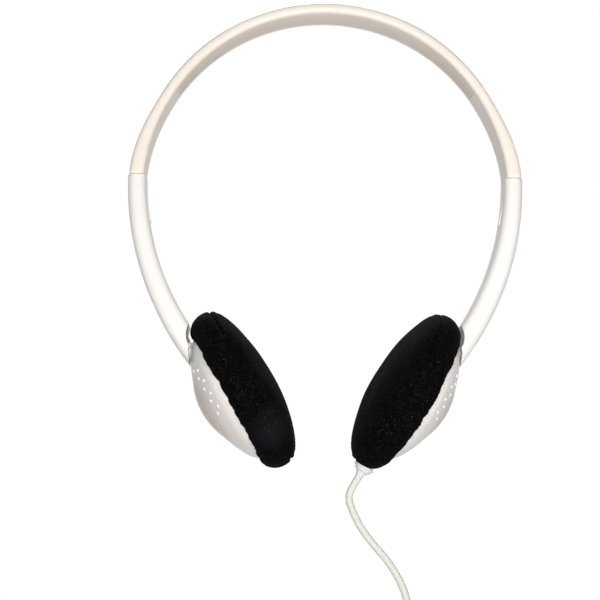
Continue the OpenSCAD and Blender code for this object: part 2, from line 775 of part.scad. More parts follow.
module cord_tie() {
    reach = cord_d / 2 + tie_gap;
    low = [coil_c[0] - coil_r - coil_dip - reach, coil_c[1] - reach, coil_c[2] - tie_w / 2];
    size = [coil_r - coil_in_r + 2 * coil_dip + 2 * reach, coil_top_y + 2 * reach, tie_w];
    wall = [tie_t, tie_t, 0];
    color("dimgray") difference() {
        translate(low - wall) cube(size + 2 * wall);
        translate(low - [0, 0, 1]) cube(size + [0, 0, 2]);
    }
}

// Plug
module plug_body() {
    relief_h = 7;
    color(ivory) translate(plug_p) rotate([180, 0, 0]) rotate_extrude() polygon([
        [0, 0], [cord_d / 2 + 0.9, 0], [cord_d / 2 + 1.5, relief_h], [plug_r - 0.6, relief_h + 0.6],
        [plug_r, relief_h + 1.6], [plug_r, plug_len - 2], [plug_r - 0.8, plug_len - 1],
        [plug_r - 0.8, plug_len], [0, plug_len]]);
}

module plug_pin() {
    groove = 0.25;
    color("gold") translate(plug_p - [0, 0, plug_len]) rotate([180, 0, 0]) difference() {
        union() {
            cylinder(r = pin_r, h = pin_len - 3.2);
            translate([0, 0, pin_len - 3.2]) cylinder(r1 = pin_r - groove, r2 = pin_r - 0.1, h = 1.2);
            translate([0, 0, pin_len - 2]) cylinder(r1 = pin_r - 0.1, r2 = 0.5, h = 2);
        }
        for (z = [5.2, 8]) translate([0, 0, z]) difference() {
            cylinder(r = pin_r + 1, h = 0.7);
            translate([0, 0, -1]) cylinder(r = pin_r - groove, h = 3);
        }
    }
}

// Lengths and the coil's least gap to itself, measured on its points
function length_of(line) = [for (i = 1, s = 0; i <= len(line);
    s = s + (i < len(line) ? norm(line[i] - line[i - 1]) : 0), i = i + 1) s][len(line) - 1];
union() {  // cord_coil
    least = min([for (i = [0 : len(coil_points) - 1], j = [i + coil_rings / 2 : len(coil_points) - 1])
        norm(coil_points[i] - coil_points[j])]);
    echo(coil_gap = least - cord_d, coil_length = length_of(coil_line), stretch = length_of(cord_line));
    echo(cup = cup_p, ball = pivot_p, joint = joint_p, arm_centre = arm_c, plug = plug_p);
    echo(gland_exit = cord_start[1], pivot_local = pivot_c, stud = cup_turned(stud_axis));
}

headband_shell();
headband_liner();
crossover_lead();
on_side(LEFT) detent_spring();  // left_detent_spring
on_side(RIGHT) detent_spring();  // right_detent_spring
on_side(LEFT) slide_strip();  // left_slide_strip
on_side(LEFT) arm_shell();  // left_arm_shell
on_side(LEFT) arm_cover();  // left_arm_cover
on_side(LEFT) arm_lead();  // left_arm_lead
on_side(LEFT) ball_stud();  // left_ball_stud
on_side(LEFT) ball_liner();  // left_ball_liner
cup_place(LEFT) cup_shell(false);  // left_cup_shell
cup_place(LEFT) socket_cap();  // left_socket_cap
cup_place(LEFT) baffle();  // left_baffle
cup_place(LEFT) cup_screws();  // left_cup_screws
cup_place(LEFT) driver_frame();  // left_driver_frame
cup_place(LEFT) driver_yoke();  // left_driver_yoke
cup_place(LEFT) driver_magnet();  // left_driver_magnet
cup_place(LEFT) driver_plate();  // left_driver_plate
cup_place(LEFT) voice_coil();  // left_voice_coil
cup_place(LEFT) diaphragm();  // left_diaphragm
cup_place(LEFT) damping_felt();  // left_damping_felt
cup_place(LEFT) terminal_board();  // left_terminal_board
cup_place(LEFT) ear_pad(false);  // left_ear_pad
on_side(RIGHT) slide_strip();  // right_slide_strip
on_side(RIGHT) arm_shell();  // right_arm_shell
on_side(RIGHT) arm_cover();  // right_arm_cover
on_side(RIGHT) arm_lead();  // right_arm_lead
on_side(RIGHT) ball_stud();  // right_ball_stud
on_side(RIGHT) ball_liner();  // right_ball_liner
cup_place(RIGHT) cup_shell(true);  // right_cup_shell
cup_place(RIGHT) socket_cap();  // right_socket_cap
cup_place(RIGHT) baffle();  // right_baffle
cup_place(RIGHT) cup_screws();  // right_cup_screws
cup_place(RIGHT) driver_frame();  // right_driver_frame
cup_place(RIGHT) driver_yoke();  // right_driver_yoke
cup_place(RIGHT) driver_magnet();  // right_driver_magnet
cup_place(RIGHT) driver_plate();  // right_driver_plate
cup_place(RIGHT) voice_coil();  // right_voice_coil
cup_place(RIGHT) diaphragm();  // right_diaphragm
cup_place(RIGHT) damping_felt();  // right_damping_felt
cup_place(RIGHT) terminal_board();  // right_terminal_board
cup_place(RIGHT) ear_pad(true);  // right_ear_pad
cord_gland();
cord_stretch();
cord_coil();
cord_tie();
plug_body();
plug_pin();
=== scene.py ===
"""Wired on-ear headphones, dressed on their CAD frame. Metres, in the frame's own axes."""
import json
import math

import bmesh
import bpy
from bpy.props import FloatProperty, FloatVectorProperty, IntProperty, PointerProperty
from mathutils import Matrix, Vector, noise


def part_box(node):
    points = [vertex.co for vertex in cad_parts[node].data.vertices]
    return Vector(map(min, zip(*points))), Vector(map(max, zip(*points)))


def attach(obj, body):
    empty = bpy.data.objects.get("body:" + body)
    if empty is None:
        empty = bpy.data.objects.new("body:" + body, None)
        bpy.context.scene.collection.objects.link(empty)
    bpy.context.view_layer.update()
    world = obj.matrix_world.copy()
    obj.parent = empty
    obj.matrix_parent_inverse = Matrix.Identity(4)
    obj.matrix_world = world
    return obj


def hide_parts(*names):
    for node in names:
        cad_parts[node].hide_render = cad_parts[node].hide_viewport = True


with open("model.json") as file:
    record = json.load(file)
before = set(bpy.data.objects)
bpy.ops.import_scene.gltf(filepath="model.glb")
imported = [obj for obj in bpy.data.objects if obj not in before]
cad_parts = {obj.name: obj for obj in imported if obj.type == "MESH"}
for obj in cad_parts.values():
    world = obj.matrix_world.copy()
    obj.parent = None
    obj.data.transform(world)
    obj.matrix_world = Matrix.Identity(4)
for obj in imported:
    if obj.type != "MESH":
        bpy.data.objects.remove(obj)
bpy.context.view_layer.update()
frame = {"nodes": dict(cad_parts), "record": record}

bl_info = {
    "name": "On-ear headphones",
    "version": (1, 0, 0),
    "blender": (4, 5, 0),
    "location": "View3D > Sidebar > Headphones",
    "description": "Builds wired on-ear headphones on their CAD frame",
    "category": "Mesh",
}

MM = 0.001
# Points closer than this are one point
MERGE = 2e-7
# Steps of a small turned piece, and of a hole
ROUND_STEPS = 64
BORE_STEPS = 48
# Rounding of a moulded edge, and play of a strip in its recess
EDGE_R = 0.12 * MM
STRIP_PLAY = 0.1 * MM
SIDES = {"left": -1, "right": 1}
X_AXIS, Y_AXIS, Z_AXIS = Vector((1, 0, 0)), Vector((0, 1, 0)), Vector((0, 0, 1))


# Sizes and colours that a user would change

def length(name, text, mm):
    return FloatProperty(name=name, description=text, default=mm * MM, unit="LENGTH", precision=5)


def turn(name, text, degrees):
    return FloatProperty(name=name, description=text, default=math.radians(degrees), subtype="ANGLE")


def colour(name, text, rgb):
    return FloatVectorProperty(name=name, description=text, default=rgb, min=0, max=1, subtype="COLOR")


class BandSizes(bpy.types.PropertyGroup):
    radius: length("Radius", "Outer radius of the band's arc", 69.2)
    width: length("Width", "Width of the band from front to back", 16.5)
    crown_t: length("Crown thickness", "Thickness of the band over the crown", 3.8)
    end_t: length("End thickness", "Thickness of the band at its socket ends", 5.4)
    flare: length("Flare", "How far the socket ends swell outward", 2.2)
    rounding: length("Rounding", "Corner radius of the band's section", 1.5)
    joint_angle: turn("Joint angle", "Angle from the crown to the joint with the arm", 86.5)
    flare_start: turn("Flare start", "Angle from the crown at which the ends begin to swell", 60)
    liner_t: length("Liner thickness", "Thickness of the liner strip", 1.2)
    liner_w: length("Liner width", "Width of the liner strip", 11)
    liner_angle: turn("Liner angle", "Angle from the crown to each end of the liner", 56)
    slide_lean: turn("Slide lean", "Outward lean of the slide from straight down", 14.5)
    slot_t: length("Slot thickness", "Opening of the slide's slot across the band", 1.52)
    slot_w: length("Slot width", "Opening of the slide's slot from front to back", 8.12)
    slot_inset: length("Slot inset", "How far the slot lies inward of the joint's middle", 0.1)
    slot_depth: length("Slot depth", "Depth of the slot in the band", 21)


class ArmSizes(bpy.types.PropertyGroup):
    in_r: length("Radius", "Radius of the arm's inner face", 99.3)
    start: turn("Start", "Angle from the level of the arc's centre down to the arm's top", 0.3)
    pivot_angle: turn("Pivot angle", "Angle from that level down to the ball joint", 41)
    pivot_depth: length("Pivot depth", "How far the ball lies outward of the arm's inner face", 3.4)
    thick: length("Thickness", "Thickness of the arm at its top", 6.4)
    end_t: length("End thickness", "Thickness of the arm at its lower end", 8.8)
    wide: length("Width", "Width of the arm from front to back at its top", 15.5)
    end_w: length("End width", "Width of the arm at its lower end", 11)
    taper: turn("Taper", "Angle over which the arm goes from its top sizes to its end sizes", 47)
    rounding: length("Rounding", "Corner radius of the arm's section", 3)
    joint_gap: length("Joint gap", "Gap between the band's end and the arm", 0.2)
    cover_t: length("Cover thickness", "Thickness of the cover strip", 1.2)
    cover_w: length("Cover width", "Width of the cover strip", 6)
    cover_from: turn("Cover start", "Angle of the cover's upper end", -1.55)
    cover_to: turn("Cover end", "Angle of the cover's lower end", -32.5)
    catch_at: turn("Catch place", "Angle of the thumb catch", -7.5)
    catch_h: length("Catch height", "Height of the thumb catch", 0.6)
    catch_len: length("Catch length", "Length of the thumb catch", 9)


class CupSizes(bpy.types.PropertyGroup):
    lean: turn("Lean", "Lean of the cup's long axis from upright", 29.8)
    rim_r: length("Rim radius", "Radius of the cup's rim", 28.5)
    rim_h: length("Rim height", "Height of the straight rim", 1)
    corner_r: length("Corner radius", "Radius where the side meets the dome", 23.8)
    side_h: length("Side height", "Depth of that corner behind the rim", 11.3)
    slope: turn("Dome slope", "Slope of the dome's cone", 25.5)
    crease_r: length("Crease radius", "Radius where the cone meets the rounded cap", 11)
    cap_h: length("Cap height", "Height of the rounded cap", 2.4)
    wall: length("Wall", "Wall of the cup", 1.8)
    pip_r: length("Pip radius", "Radius of a raised pip on the dome", 0.6)
    pivot_u: length("Pivot place", "Distance of the ball's centre from the cup's axis", 16.4)
    pivot_n: length("Pivot depth", "Depth of the ball's centre behind the rim", 10.12092)
    stud_lean: turn("Stud lean", "Lean of the stud from the cup's plane", 15.5)
    neck_r: length("Neck way", "Radius of the way for the stud's neck", 1.5)
    tilt_out: turn("Tilt outward", "Tilt of the cup with its top outward", 3)
    tilt_in: turn("Tilt inward", "Tilt of the cup with its top inward", 6)
    swivel_max: turn("Swivel", "Turn of a cup on its stud either way", 10)
    gap: length("Gap", "Clearance of the arm's end from the cup at the limits", 0.3)
    seat_r: length("Seat radius", "Radius of the ball that ends the dome's neck", 7)
    seat_gap: length("Seat gap", "Clearance of the arm's end from that ball", 0.2)
    left_swivel: turn("Left swivel", "Turn of the left cup as it rests", 1)
    right_swivel: turn("Right swivel", "Turn of the right cup as it rests", 7)


class PadSizes(bpy.types.PropertyGroup):
    radius: length("Radius", "Radius of the pad at its widest", 31)
    front_r: length("Front radius", "Radius of the pad's crowned front", 28.6)
    crown: length("Crown", "Crown of the pad in front of its seam", 9)
    seam_r: length("Seam radius", "Radius at the bottom of the seam", 29.5)
    seam_depth: length("Seam depth", "Depth of the seam's groove", 0.5)
    base: length("Base", "Height of the crowned front's edge", 2.2)
    belly: length("Belly", "Height of the widest point behind the seam", 2.8)
    lip_r: length("Lip radius", "Radius of the lip's edge", 25)
    lip_n: length("Lip depth", "Depth of the lip's edge behind the rim", 9.6)
    gap: length("Gap", "Clearance of the pad from the cup", 0.2)
    fuzz: length("Fuzz", "Height of the nap", 0.1)
    steps: IntProperty(name="Steps", description="Steps round the pad", default=420, min=24)


class CordSizes(bpy.types.PropertyGroup):
    diameter: length("Diameter", "Diameter of the cord", 2.6)
    coil_r: length("Coil radius", "Outer radius of the coil's middle line", 19)
    coil_step: length("Coil step", "Step from turn to turn and from layer to layer", 3.2)
    coil_dip: length("Coil dip", "How far a climb dips past the layers it joins", 0.6)
    layers: IntProperty(name="Layers", description="Layers of the coil", default=4, min=1)
    steps: IntProperty(name="Steps", description="Points on each turn of the coil", default=32, min=12)
    tail: length("Tail", "Length of straight cord between the coil and the plug", 22)
    gland_tip: length("Gland tip", "Distance from the cup's axis to the gland's tip", 36.2)
    gland_r: length("Gland radius", "Radius of the gland at its wide end", 3.2)
    gland_tip_r: length("Gland tip radius", "Radius of the gland at its tip", 1.9)
    gland_depth: length("Gland depth", "Distance of the gland behind the cup's rim", 3.8)
    tie_t: length("Tie thickness", "Thickness of the tie", 0.8)
    plug_r: length("Plug radius", "Radius of the plug's body", 4.2)
    plug_len: length("Plug length", "Length of the plug's body", 26)
    pin_r: length("Pin radius", "Radius of the plug's pin", 1.75)
    pin_len: length("Pin length", "Length of the plug's pin", 14)


class Finishes(bpy.types.PropertyGroup):
    ivory: colour("Ivory", "White of the arms and the cups", (0.905, 0.88, 0.855))
    band: colour("Band", "Cream white of the headband", (0.90, 0.82, 0.735))
    ivory_warm: colour("Warm ivory", "Tinge of the plastic where it has aged", (0.82, 0.72, 0.635))
    # Painted shade: a brown laid round each dome's top to darken it as shade would
    painted_top_shade: colour("Aged", "Browned plastic on the domes' tops", (0.66, 0.545, 0.46))
    liner: colour("Liner", "Inner strip of the band", (0.88, 0.78, 0.71))
    foam: colour("Foam", "Black of the ear pads", (0.0016, 0.0016, 0.0019))
    nap: colour("Nap", "Tips of the pads' nap", (0.016, 0.0125, 0.0115))
    dust: colour("Dust", "Rubbed patch on the left pad", (0.013, 0.012, 0.015))
    lint: colour("Lint", "Specks caught in the nap", (0.05, 0.051, 0.054))
    cord: colour("Cord", "Cream white of the cord", (0.74, 0.74, 0.665))
    gland: colour("Gland", "Cool white of the gland and the plug", (0.76, 0.785, 0.80))
    gilt: colour("Gilt", "Plating of the plug's pin", (0.85, 0.66, 0.32))
    steel: colour("Steel", "Slide strips, springs and screws", (0.4, 0.4, 0.41))


class StageSettings(bpy.types.PropertyGroup):
    distance: length("Distance", "Distance of the camera from the origin", 600)
    azimuth: turn("Azimuth", "Turn of the camera round the object", -2.21)
    elevation: turn("Elevation", "Height of the camera over the horizon", -12.24)
    roll: turn("Roll", "Turn of the camera about its line of sight", 0.406)
    lens: FloatProperty(name="Lens", description="Focal length of the camera", default=97.9, unit="CAMERA")


class HeadphoneSettings(bpy.types.PropertyGroup):
    band: PointerProperty(type=BandSizes, name="Headband", description="Sizes of the headband")
    arm: PointerProperty(type=ArmSizes, name="Arms", description="Sizes of the arms")
    cup: PointerProperty(type=CupSizes, name="Cups", description="Sizes of the cups")
    pad: PointerProperty(type=PadSizes, name="Pads", description="Sizes of the ear pads")
    cord: PointerProperty(type=CordSizes, name="Cord", description="Sizes of the cord and the plug")
    finish: PointerProperty(type=Finishes, name="Finishes", description="Colours of the pieces")
    stage: PointerProperty(type=StageSettings, name="Stage", description="Place of the camera")


def sizes():
    return bpy.context.scene.headphones


# Shared places

KNOB_STEPS = 8


def polar(r, angle):
    """Point at radius r and an angle above the X axis, in the XZ plane."""
    return Vector((r * math.cos(angle), 0, r * math.sin(angle)))


def joint_point():
    """Middle of the right-hand joint of band and arm."""
    band = sizes().band
    return polar(band.radius + band.flare - band.end_t / 2, math.pi / 2 - band.joint_angle)


def slide_frame():
    """Frame at the right-hand joint, with Z up along the slide."""
    return Matrix.Translation(joint_point()) @ Matrix.Rotation(-sizes().band.slide_lean, 4, "Y")


def arm_centre():
    """Centre of the right-hand arm's arc."""
    arm = sizes().arm
    return joint_point() - polar(arm.in_r + arm.thick / 2, -arm.start)


def pivot_local():
    """Centre of the ball in the cup's frame."""
    cup = sizes().cup
    return Vector((cup.pivot_u, 0, -cup.pivot_n))


def stud_axis():
    """Way of the stud out of the cup, in the cup's frame."""
    lean = sizes().cup.stud_lean
    return Vector((math.cos(lean), 0, -math.sin(lean)))


def cup_frame(swivel, tilt=0):
    """Frame of the right-hand cup: X along its long axis to the arm, Z to the head."""
    cup, arm = sizes().cup, sizes().arm
    upright = Matrix.Rotation(cup.lean - math.pi / 2, 4, "Y")
    ball = arm_centre() + polar(arm.in_r + arm.pivot_depth, -arm.pivot_angle)
    about = Matrix.Rotation(tilt, 4, "Y") @ Matrix.Rotation(swivel, 4, stud_axis())
    return Matrix.Translation(ball) @ upright @ about @ Matrix.Translation(-pivot_local())


def cup_place(side):
    """Frame of either cup as it rests."""
    cup = sizes().cup
    if side == "left":
        return Matrix.Scale(-1, 4, X_AXIS) @ cup_frame(cup.left_swivel)
    return cup_frame(cup.right_swivel)


def stud_frame():
    """Frame at the ball's centre in the cup, with Z along the stud."""
    return Matrix.Translation(pivot_local()) @ Matrix.Rotation(math.pi / 2 + sizes().cup.stud_lean, 4, "Y")


def arc_of(r, start, end, steps):
    """Points (across, along) on a circle, at angles from the axis."""
    turns = [start + (end - start) * i / steps for i in range(steps + 1)]
    return [(r * math.sin(angle), r * math.cos(angle)) for angle in turns]


def stud_knob(radius, ball_r):
    """Round neck about the stud that ends in part of a ball round the pivot, in the cup's frame."""
    top = arc_of(ball_r, math.asin(radius / ball_r), 0, KNOB_STEPS)
    return moved(lathe([(0, 0), (radius, 0)] + top, (), ROUND_STEPS), stud_frame())


def gland_frame():
    """Frame in the cup with Z out along the gland."""
    return Matrix.Translation((0, 0, -sizes().cord.gland_depth)) @ Matrix.Rotation(-math.pi / 2, 4, "Y")


def smooth(t):
    """Share from 0 to 1 that starts and ends gently."""
    t = min(1, max(0, t))
    return t * t * (3 - 2 * t)


# Mesh tools

# Edges sharper than this are softened
SHARP_ANGLE = math.radians(40)


def rounded(bm, geom, radius, segments, affect="EDGES"):
    """Rounds edges or corners of a shape."""
    bmesh.ops.bevel(bm, geom=geom, offset=radius, affect=affect, segments=segments, profile=0.5, material=-1)


def ring_of(bm, points, bevels=()):
    """Closed ring of edges through points. bevels pairs the number of a point with its rounding."""
    verts = [bm.verts.new(p) for p in points]
    bm.faces.new(verts)
    for number, radius in bevels:
        rounded(bm, [verts[number]], radius, 6, "VERTICES")
    face = bm.faces[:][0]
    edges = face.edges[:]
    bmesh.ops.delete(bm, geom=[face], context="FACES_ONLY")
    return edges


def clean(bm):
    """Merges doubles and turns the faces outward."""
    bmesh.ops.remove_doubles(bm, verts=bm.verts, dist=MERGE)
    bmesh.ops.dissolve_degenerate(bm, edges=bm.edges, dist=MERGE)
    bmesh.ops.recalc_face_normals(bm, faces=bm.faces)
    return bm


def lathe(half_section, bevels=(), steps=96):
    """Closed body turned about Z from a half section of (radius, height) points."""
    bm = bmesh.new()
    edges = ring_of(bm, [(r, 0, z) for r, z in half_section], bevels)
    on_axis = [e for e in edges if max(abs(v.co.x) for v in e.verts) < MERGE]
    bmesh.ops.delete(bm, geom=on_axis, context="EDGES")
    bmesh.ops.spin(bm, geom=bm.verts[:] + bm.edges[:], cent=(0, 0, 0), axis=Z_AXIS, angle=math.tau,
                   steps=steps, use_merge=True)
    return clean(bm)


def rod(radius, start, end, steps=BORE_STEPS):
    """Round bar along Z between two heights."""
    return lathe([(0, start), (radius, start), (radius, end), (0, end)], (), steps)


def swept(bm, centre, start, end, steps):
    """Sweeps a ring of (radius, width) points about Y from angle start down to angle end."""
    rim = bm.edges[:]
    first = Matrix.Translation(centre) @ Matrix.Rotation(-start, 4, "Y")
    bmesh.ops.transform(bm, matrix=first, verts=bm.verts)
    made = bmesh.ops.spin(bm, geom=bm.verts[:] + rim, cent=centre, axis=Y_AXIS, angle=start - end,
                          steps=steps)
    last = [e for e in made["geom_last"] if isinstance(e, bmesh.types.BMEdge)]
    bmesh.ops.edgeloop_fill(bm, edges=rim)
    bmesh.ops.edgeloop_fill(bm, edges=last)
    return clean(bm)


def strip_of(low_r, high_r, width, rounding, centre, start, end, steps):
    """Bent strip between two radii, with the corners of its section rounded."""
    bm = bmesh.new()
    half = width / 2
    ring_of(bm, [(low_r, -half, 0), (high_r, -half, 0), (high_r, half, 0), (low_r, half, 0)],
            [(n, rounding) for n in range(4)] if rounding else ())
    return swept(bm, centre, start, end, steps)


def box_of(low, high):
    """Block between two corners."""
    bm = bmesh.new()
    bmesh.ops.create_cube(bm, size=1)
    low, high = Vector(low), Vector(high)
    bmesh.ops.scale(bm, vec=high - low, verts=bm.verts)
    bmesh.ops.translate(bm, vec=(low + high) / 2, verts=bm.verts)
    return bm


def moved(bm, matrix):
    """Puts a shape in its place, with its faces outward."""
    bmesh.ops.transform(bm, matrix=matrix, verts=bm.verts)
    if matrix.determinant() < 0:
        bmesh.ops.reverse_faces(bm, faces=bm.faces)
    return bm


def sliced(bm, point, normal):
    """Cuts away the side that normal points to, and closes the cut."""
    whole = bm.verts[:] + bm.edges[:] + bm.faces[:]
    cut = bmesh.ops.bisect_plane(bm, geom=whole, dist=MERGE, plane_co=point, plane_no=normal,
                                 clear_outer=True)
    edges = [e for e in cut["geom_cut"] if isinstance(e, bmesh.types.BMEdge)]
    bmesh.ops.edgeloop_fill(bm, edges=edges)
    return bm


def object_of(name, bm):
    """Object that holds a shape, which is then let go."""
    mesh = bpy.data.meshes.new(name)
    bm.to_mesh(mesh)
    bm.free()
    obj = bpy.data.objects.new(name, mesh)
    bpy.context.scene.collection.objects.link(obj)
    return obj


def settle(obj):
    """Puts the result of an object's modifiers into its mesh."""
    graph = bpy.context.evaluated_depsgraph_get()
    mesh = bpy.data.meshes.new_from_object(obj.evaluated_get(graph), depsgraph=graph)
    obj.modifiers.clear()
    spent = obj.data
    obj.data = mesh
    bpy.data.meshes.remove(spent)
    mesh.name = obj.name


def carved(obj, tool, operation="DIFFERENCE"):
    """Takes a tool's shape out of an object, or joins it on."""
    cutter = object_of("tool", tool)
    carve = obj.modifiers.new("carve", "BOOLEAN")
    carve.operation, carve.object, carve.solver = operation, cutter, "EXACT"
    settle(obj)
    spent = cutter.data
    bpy.data.objects.remove(cutter)
    bpy.data.meshes.remove(spent)


def softened(obj, width):
    """Rounds the sharp edges of a finished shape."""
    bevel = obj.modifiers.new("edges", "BEVEL")
    bevel.width, bevel.segments, bevel.limit_method = width, 2, "ANGLE"
    bevel.angle_limit, bevel.profile, bevel.use_clamp_overlap = SHARP_ANGLE, 0.5, True
    settle(obj)


def hung(obj, side):
    """Moves a shape from the cup's frame to either cup as it rests."""
    place = cup_place(side)
    obj.data.transform(place)
    if place.determinant() < 0:
        obj.data.flip_normals()


def mirrored(obj, name):
    """The same shape on the other side of the head."""
    bm = bmesh.new()
    bm.from_mesh(obj.data)
    return object_of(name, moved(bm, Matrix.Scale(-1, 4, X_AXIS)))


def finished(obj, material, body, nodes, angle=35):
    """Gives a piece its material, shading and place in the frame."""
    obj.data.materials.clear()
    obj.data.materials.append(material)
    obj.data.shade_smooth()
    obj.data.set_sharp_from_angle(angle=math.radians(angle))
    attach(obj, body)
    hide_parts(*nodes)
    return obj


# Shader tools

class Wire:
    """A node's output socket that can be used in sums."""

    def __init__(self, tree, socket):
        self.tree, self.socket = tree, socket

    def node(self, kind, settings=None, **inputs):
        """Adds a node of a type, with its settings first and then its sockets' values or links."""
        made = self.tree.nodes.new(kind)
        for key, value in (settings or {}).items():
            if key == "stops":
                fill_ramp(made.color_ramp, value)
            else:
                setattr(made, key, value)
        for key, value in inputs.items():
            fill_socket(self.tree, named_input(made, key), value)
        return made

    def out(self, kind, output=0, settings=None, **inputs):
        return Wire(self.tree, self.node(kind, settings, **inputs).outputs[output])

    def math(self, operation, *values):
        return self.out("ShaderNodeMath", 0, {"operation": operation},
                        **{f"in{number}": value for number, value in enumerate(values)})

    def __add__(self, other):
        return self.math("ADD", self, other)

    __radd__ = __add__

    def __sub__(self, other):
        return self.math("SUBTRACT", self, other)

    def __rsub__(self, other):
        return self.math("SUBTRACT", other, self)

    def __mul__(self, other):
        return self.math("MULTIPLY", self, other)

    __rmul__ = __mul__

    def __truediv__(self, other):
        return self.math("DIVIDE", self, other)

    def __gt__(self, other):
        return self.math("GREATER_THAN", self, other)

    def __lt__(self, other):
        return self.math("LESS_THAN", self, other)

    def mixed(self, first, second):
        """Colour between two colours, with this value as the factor."""
        return self.out("ShaderNodeMix", 2, {"data_type": "RGBA"}, in0=self, in6=first, in7=second)

    def ramp(self, *stops):
        """Value mapped by (place, value) stops."""
        return self.out("ShaderNodeValToRGB", 0, {"stops": stops}, in0=self)


def named_input(node, key):
    """Socket by number, as in0, or by its name with _ for each space."""
    if key.startswith("in") and key[2:].isdigit():
        return node.inputs[int(key[2:])]
    return node.inputs[key.replace("_", " ")]


def fill_socket(tree, socket, value):
    if isinstance(value, Wire):
        tree.links.new(value.socket, socket)
    elif hasattr(value, "__len__") and socket.type == "RGBA":
        socket.default_value = (*value, 1)
    else:
        socket.default_value = value


def fill_ramp(ramp, stops):
    while len(ramp.elements) < len(stops):
        ramp.elements.new(1)
    for element, (place, value) in zip(ramp.elements, stops):
        element.position = place
        element.color = (value, value, value, 1)


class Finish:
    """A material with its shader and the piece's own coordinates."""

    def __init__(self, name, **constants):
        self.material = bpy.data.materials.new(f"{name}_finish")
        self.material.use_nodes = True
        self.tree = self.material.node_tree
        self.shader = self.tree.nodes["Principled BSDF"]
        self.set(**constants)
        self.start = Wire(self.tree, None)
        self.place = self.start.out("ShaderNodeTexCoord", 3)

    def set(self, **inputs):
        for key, value in inputs.items():
            fill_socket(self.tree, named_input(self.shader, key), value)

    def noise(self, scale, detail, roughness=0.5, place=None):
        return self.start.out("ShaderNodeTexNoise", 0, Vector=place or self.place, Scale=scale, Detail=detail,
                              Roughness=roughness)

    def distance_to(self, point):
        return self.start.out("ShaderNodeVectorMath", 1, {"operation": "DISTANCE"}, in0=self.place, in1=point)

    def bump(self, height, distance, strength):
        self.set(Normal=self.start.out("ShaderNodeBump", 0, Height=height, Distance=distance,
                                       Strength=strength))


# Finishes

# Reach of the painted shade, a brown patch round each dome's top
PAINTED_SHADE_R = 19 * MM
# Rubbed patch on the left pad, in the cup's frame
RUBBED_AT = Vector((-19, -23.5, -1)) * MM
RUBBED_R = 10 * MM
# Cells to a metre that may hold a speck of lint
LINT_SCALE = 760


def moulded(name, rgb):
    """Satin gloss moulded plastic, warmer in broad patches, with brown shade painted round the domes' tops.
    """
    look = sizes().finish
    made = Finish(name, IOR=1.49, Specular_IOR_Level=0.22, Coat_Roughness=0.12)
    patches = made.noise(38, 3).ramp((0.38, 0), (0.72, 1))
    grain = made.noise(900, 2)
    tops = [made.distance_to(cup_place(side) @ Vector((0, 0, dome_n(0)))) for side in SIDES]
    # Painted shade: brown round each dome's top, fading with distance from it and a little patchy
    painted_top_shade = (tops[0].math("MINIMUM", *tops) / PAINTED_SHADE_R).ramp((0.55, 1), (1, 0)) * (0.75 + 0.25 * patches)
    made.set(Base_Color=painted_top_shade.mixed((patches * 0.3).mixed(rgb, look.ivory_warm), look.painted_top_shade),
             Roughness=0.25 + 0.08 * made.noise(120, 2) + 0.04 * grain, Coat_Weight=0.03 + 0.03 * patches)
    made.bump(made.noise(70, 1) + 0.04 * grain, 0.00012, 0.35)
    return made.material


def liner_plastic():
    """Finer-grained plastic of the band's inner strip."""
    look = sizes().finish
    made = Finish("liner_plastic", IOR=1.49, Specular_IOR_Level=0.22)
    patches = made.noise(60, 2)
    grain = made.noise(2200, 2)
    made.set(Base_Color=(patches * 0.5).mixed(look.liner, look.ivory_warm), Roughness=0.42 + 0.15 * grain)
    made.bump(grain, 0.00003, 0.5)
    return made.material


def black_foam():
    """Fuzzy black foam with a short nap and a few specks of lint."""
    look = sizes().finish
    made = Finish("black_foam", Specular_IOR_Level=0.02, Sheen_Weight=0.006, Sheen_Roughness=0.35,
                  Sheen_Tint=(0.62, 0.5, 0.42))
    nap = made.noise(1500, 3, 0.65)
    tufts = made.noise(420, 3, 0.6)
    tips = (0.7 * nap + 0.3 * tufts).ramp((0.5, 0), (0.72, 1))
    cells = made.start.node("ShaderNodeTexVoronoi", {"feature": "F1", "distance": "EUCLIDEAN"},
                            Vector=made.place, Scale=LINT_SCALE, Randomness=1)
    near, pick = (Wire(made.tree, socket) for socket in cells.outputs[:2])
    chosen = made.start.out("ShaderNodeSeparateColor", 0, Color=pick)
    speck = (near < 0.3 * nap) * chosen.ramp((0.45, 0), (1, 1))
    rubbed = (made.distance_to(cup_place("left") @ RUBBED_AT) / RUBBED_R).ramp((0.2, 1), (1, 0))
    dust = rubbed * (0.4 + 0.6 * tufts)
    made.set(Base_Color=speck.mixed(dust.mixed(tips.mixed(look.foam, look.nap), look.dust), look.lint),
             Roughness=0.86 + 0.12 * tufts)
    made.bump(nap + 0.8 * tufts, 0.00035, 0.9)
    return made.material


def cord_rubber():
    """Soft smooth sleeve of the cord."""
    look = sizes().finish
    made = Finish("cord_rubber", IOR=1.48, Specular_IOR_Level=0.2)
    patches = made.noise(90, 3)
    made.set(Base_Color=(patches * 0.2).mixed(look.cord, look.ivory_warm),
             Roughness=0.5 + 0.14 * made.noise(300, 2))
    made.bump(made.noise(300, 1), 0.00003, 0.2)
    return made.material


def gland_rubber():
    """Cool white rubber of the gland and the plug's body."""
    look = sizes().finish
    made = Finish("gland_rubber", IOR=1.48)
    patches = made.noise(300, 3)
    made.set(Base_Color=(patches * 0.35).mixed(look.gland, look.cord), Roughness=0.38 + 0.16 * patches)
    made.bump(made.noise(1800, 2), 0.00004, 0.5)
    return made.material


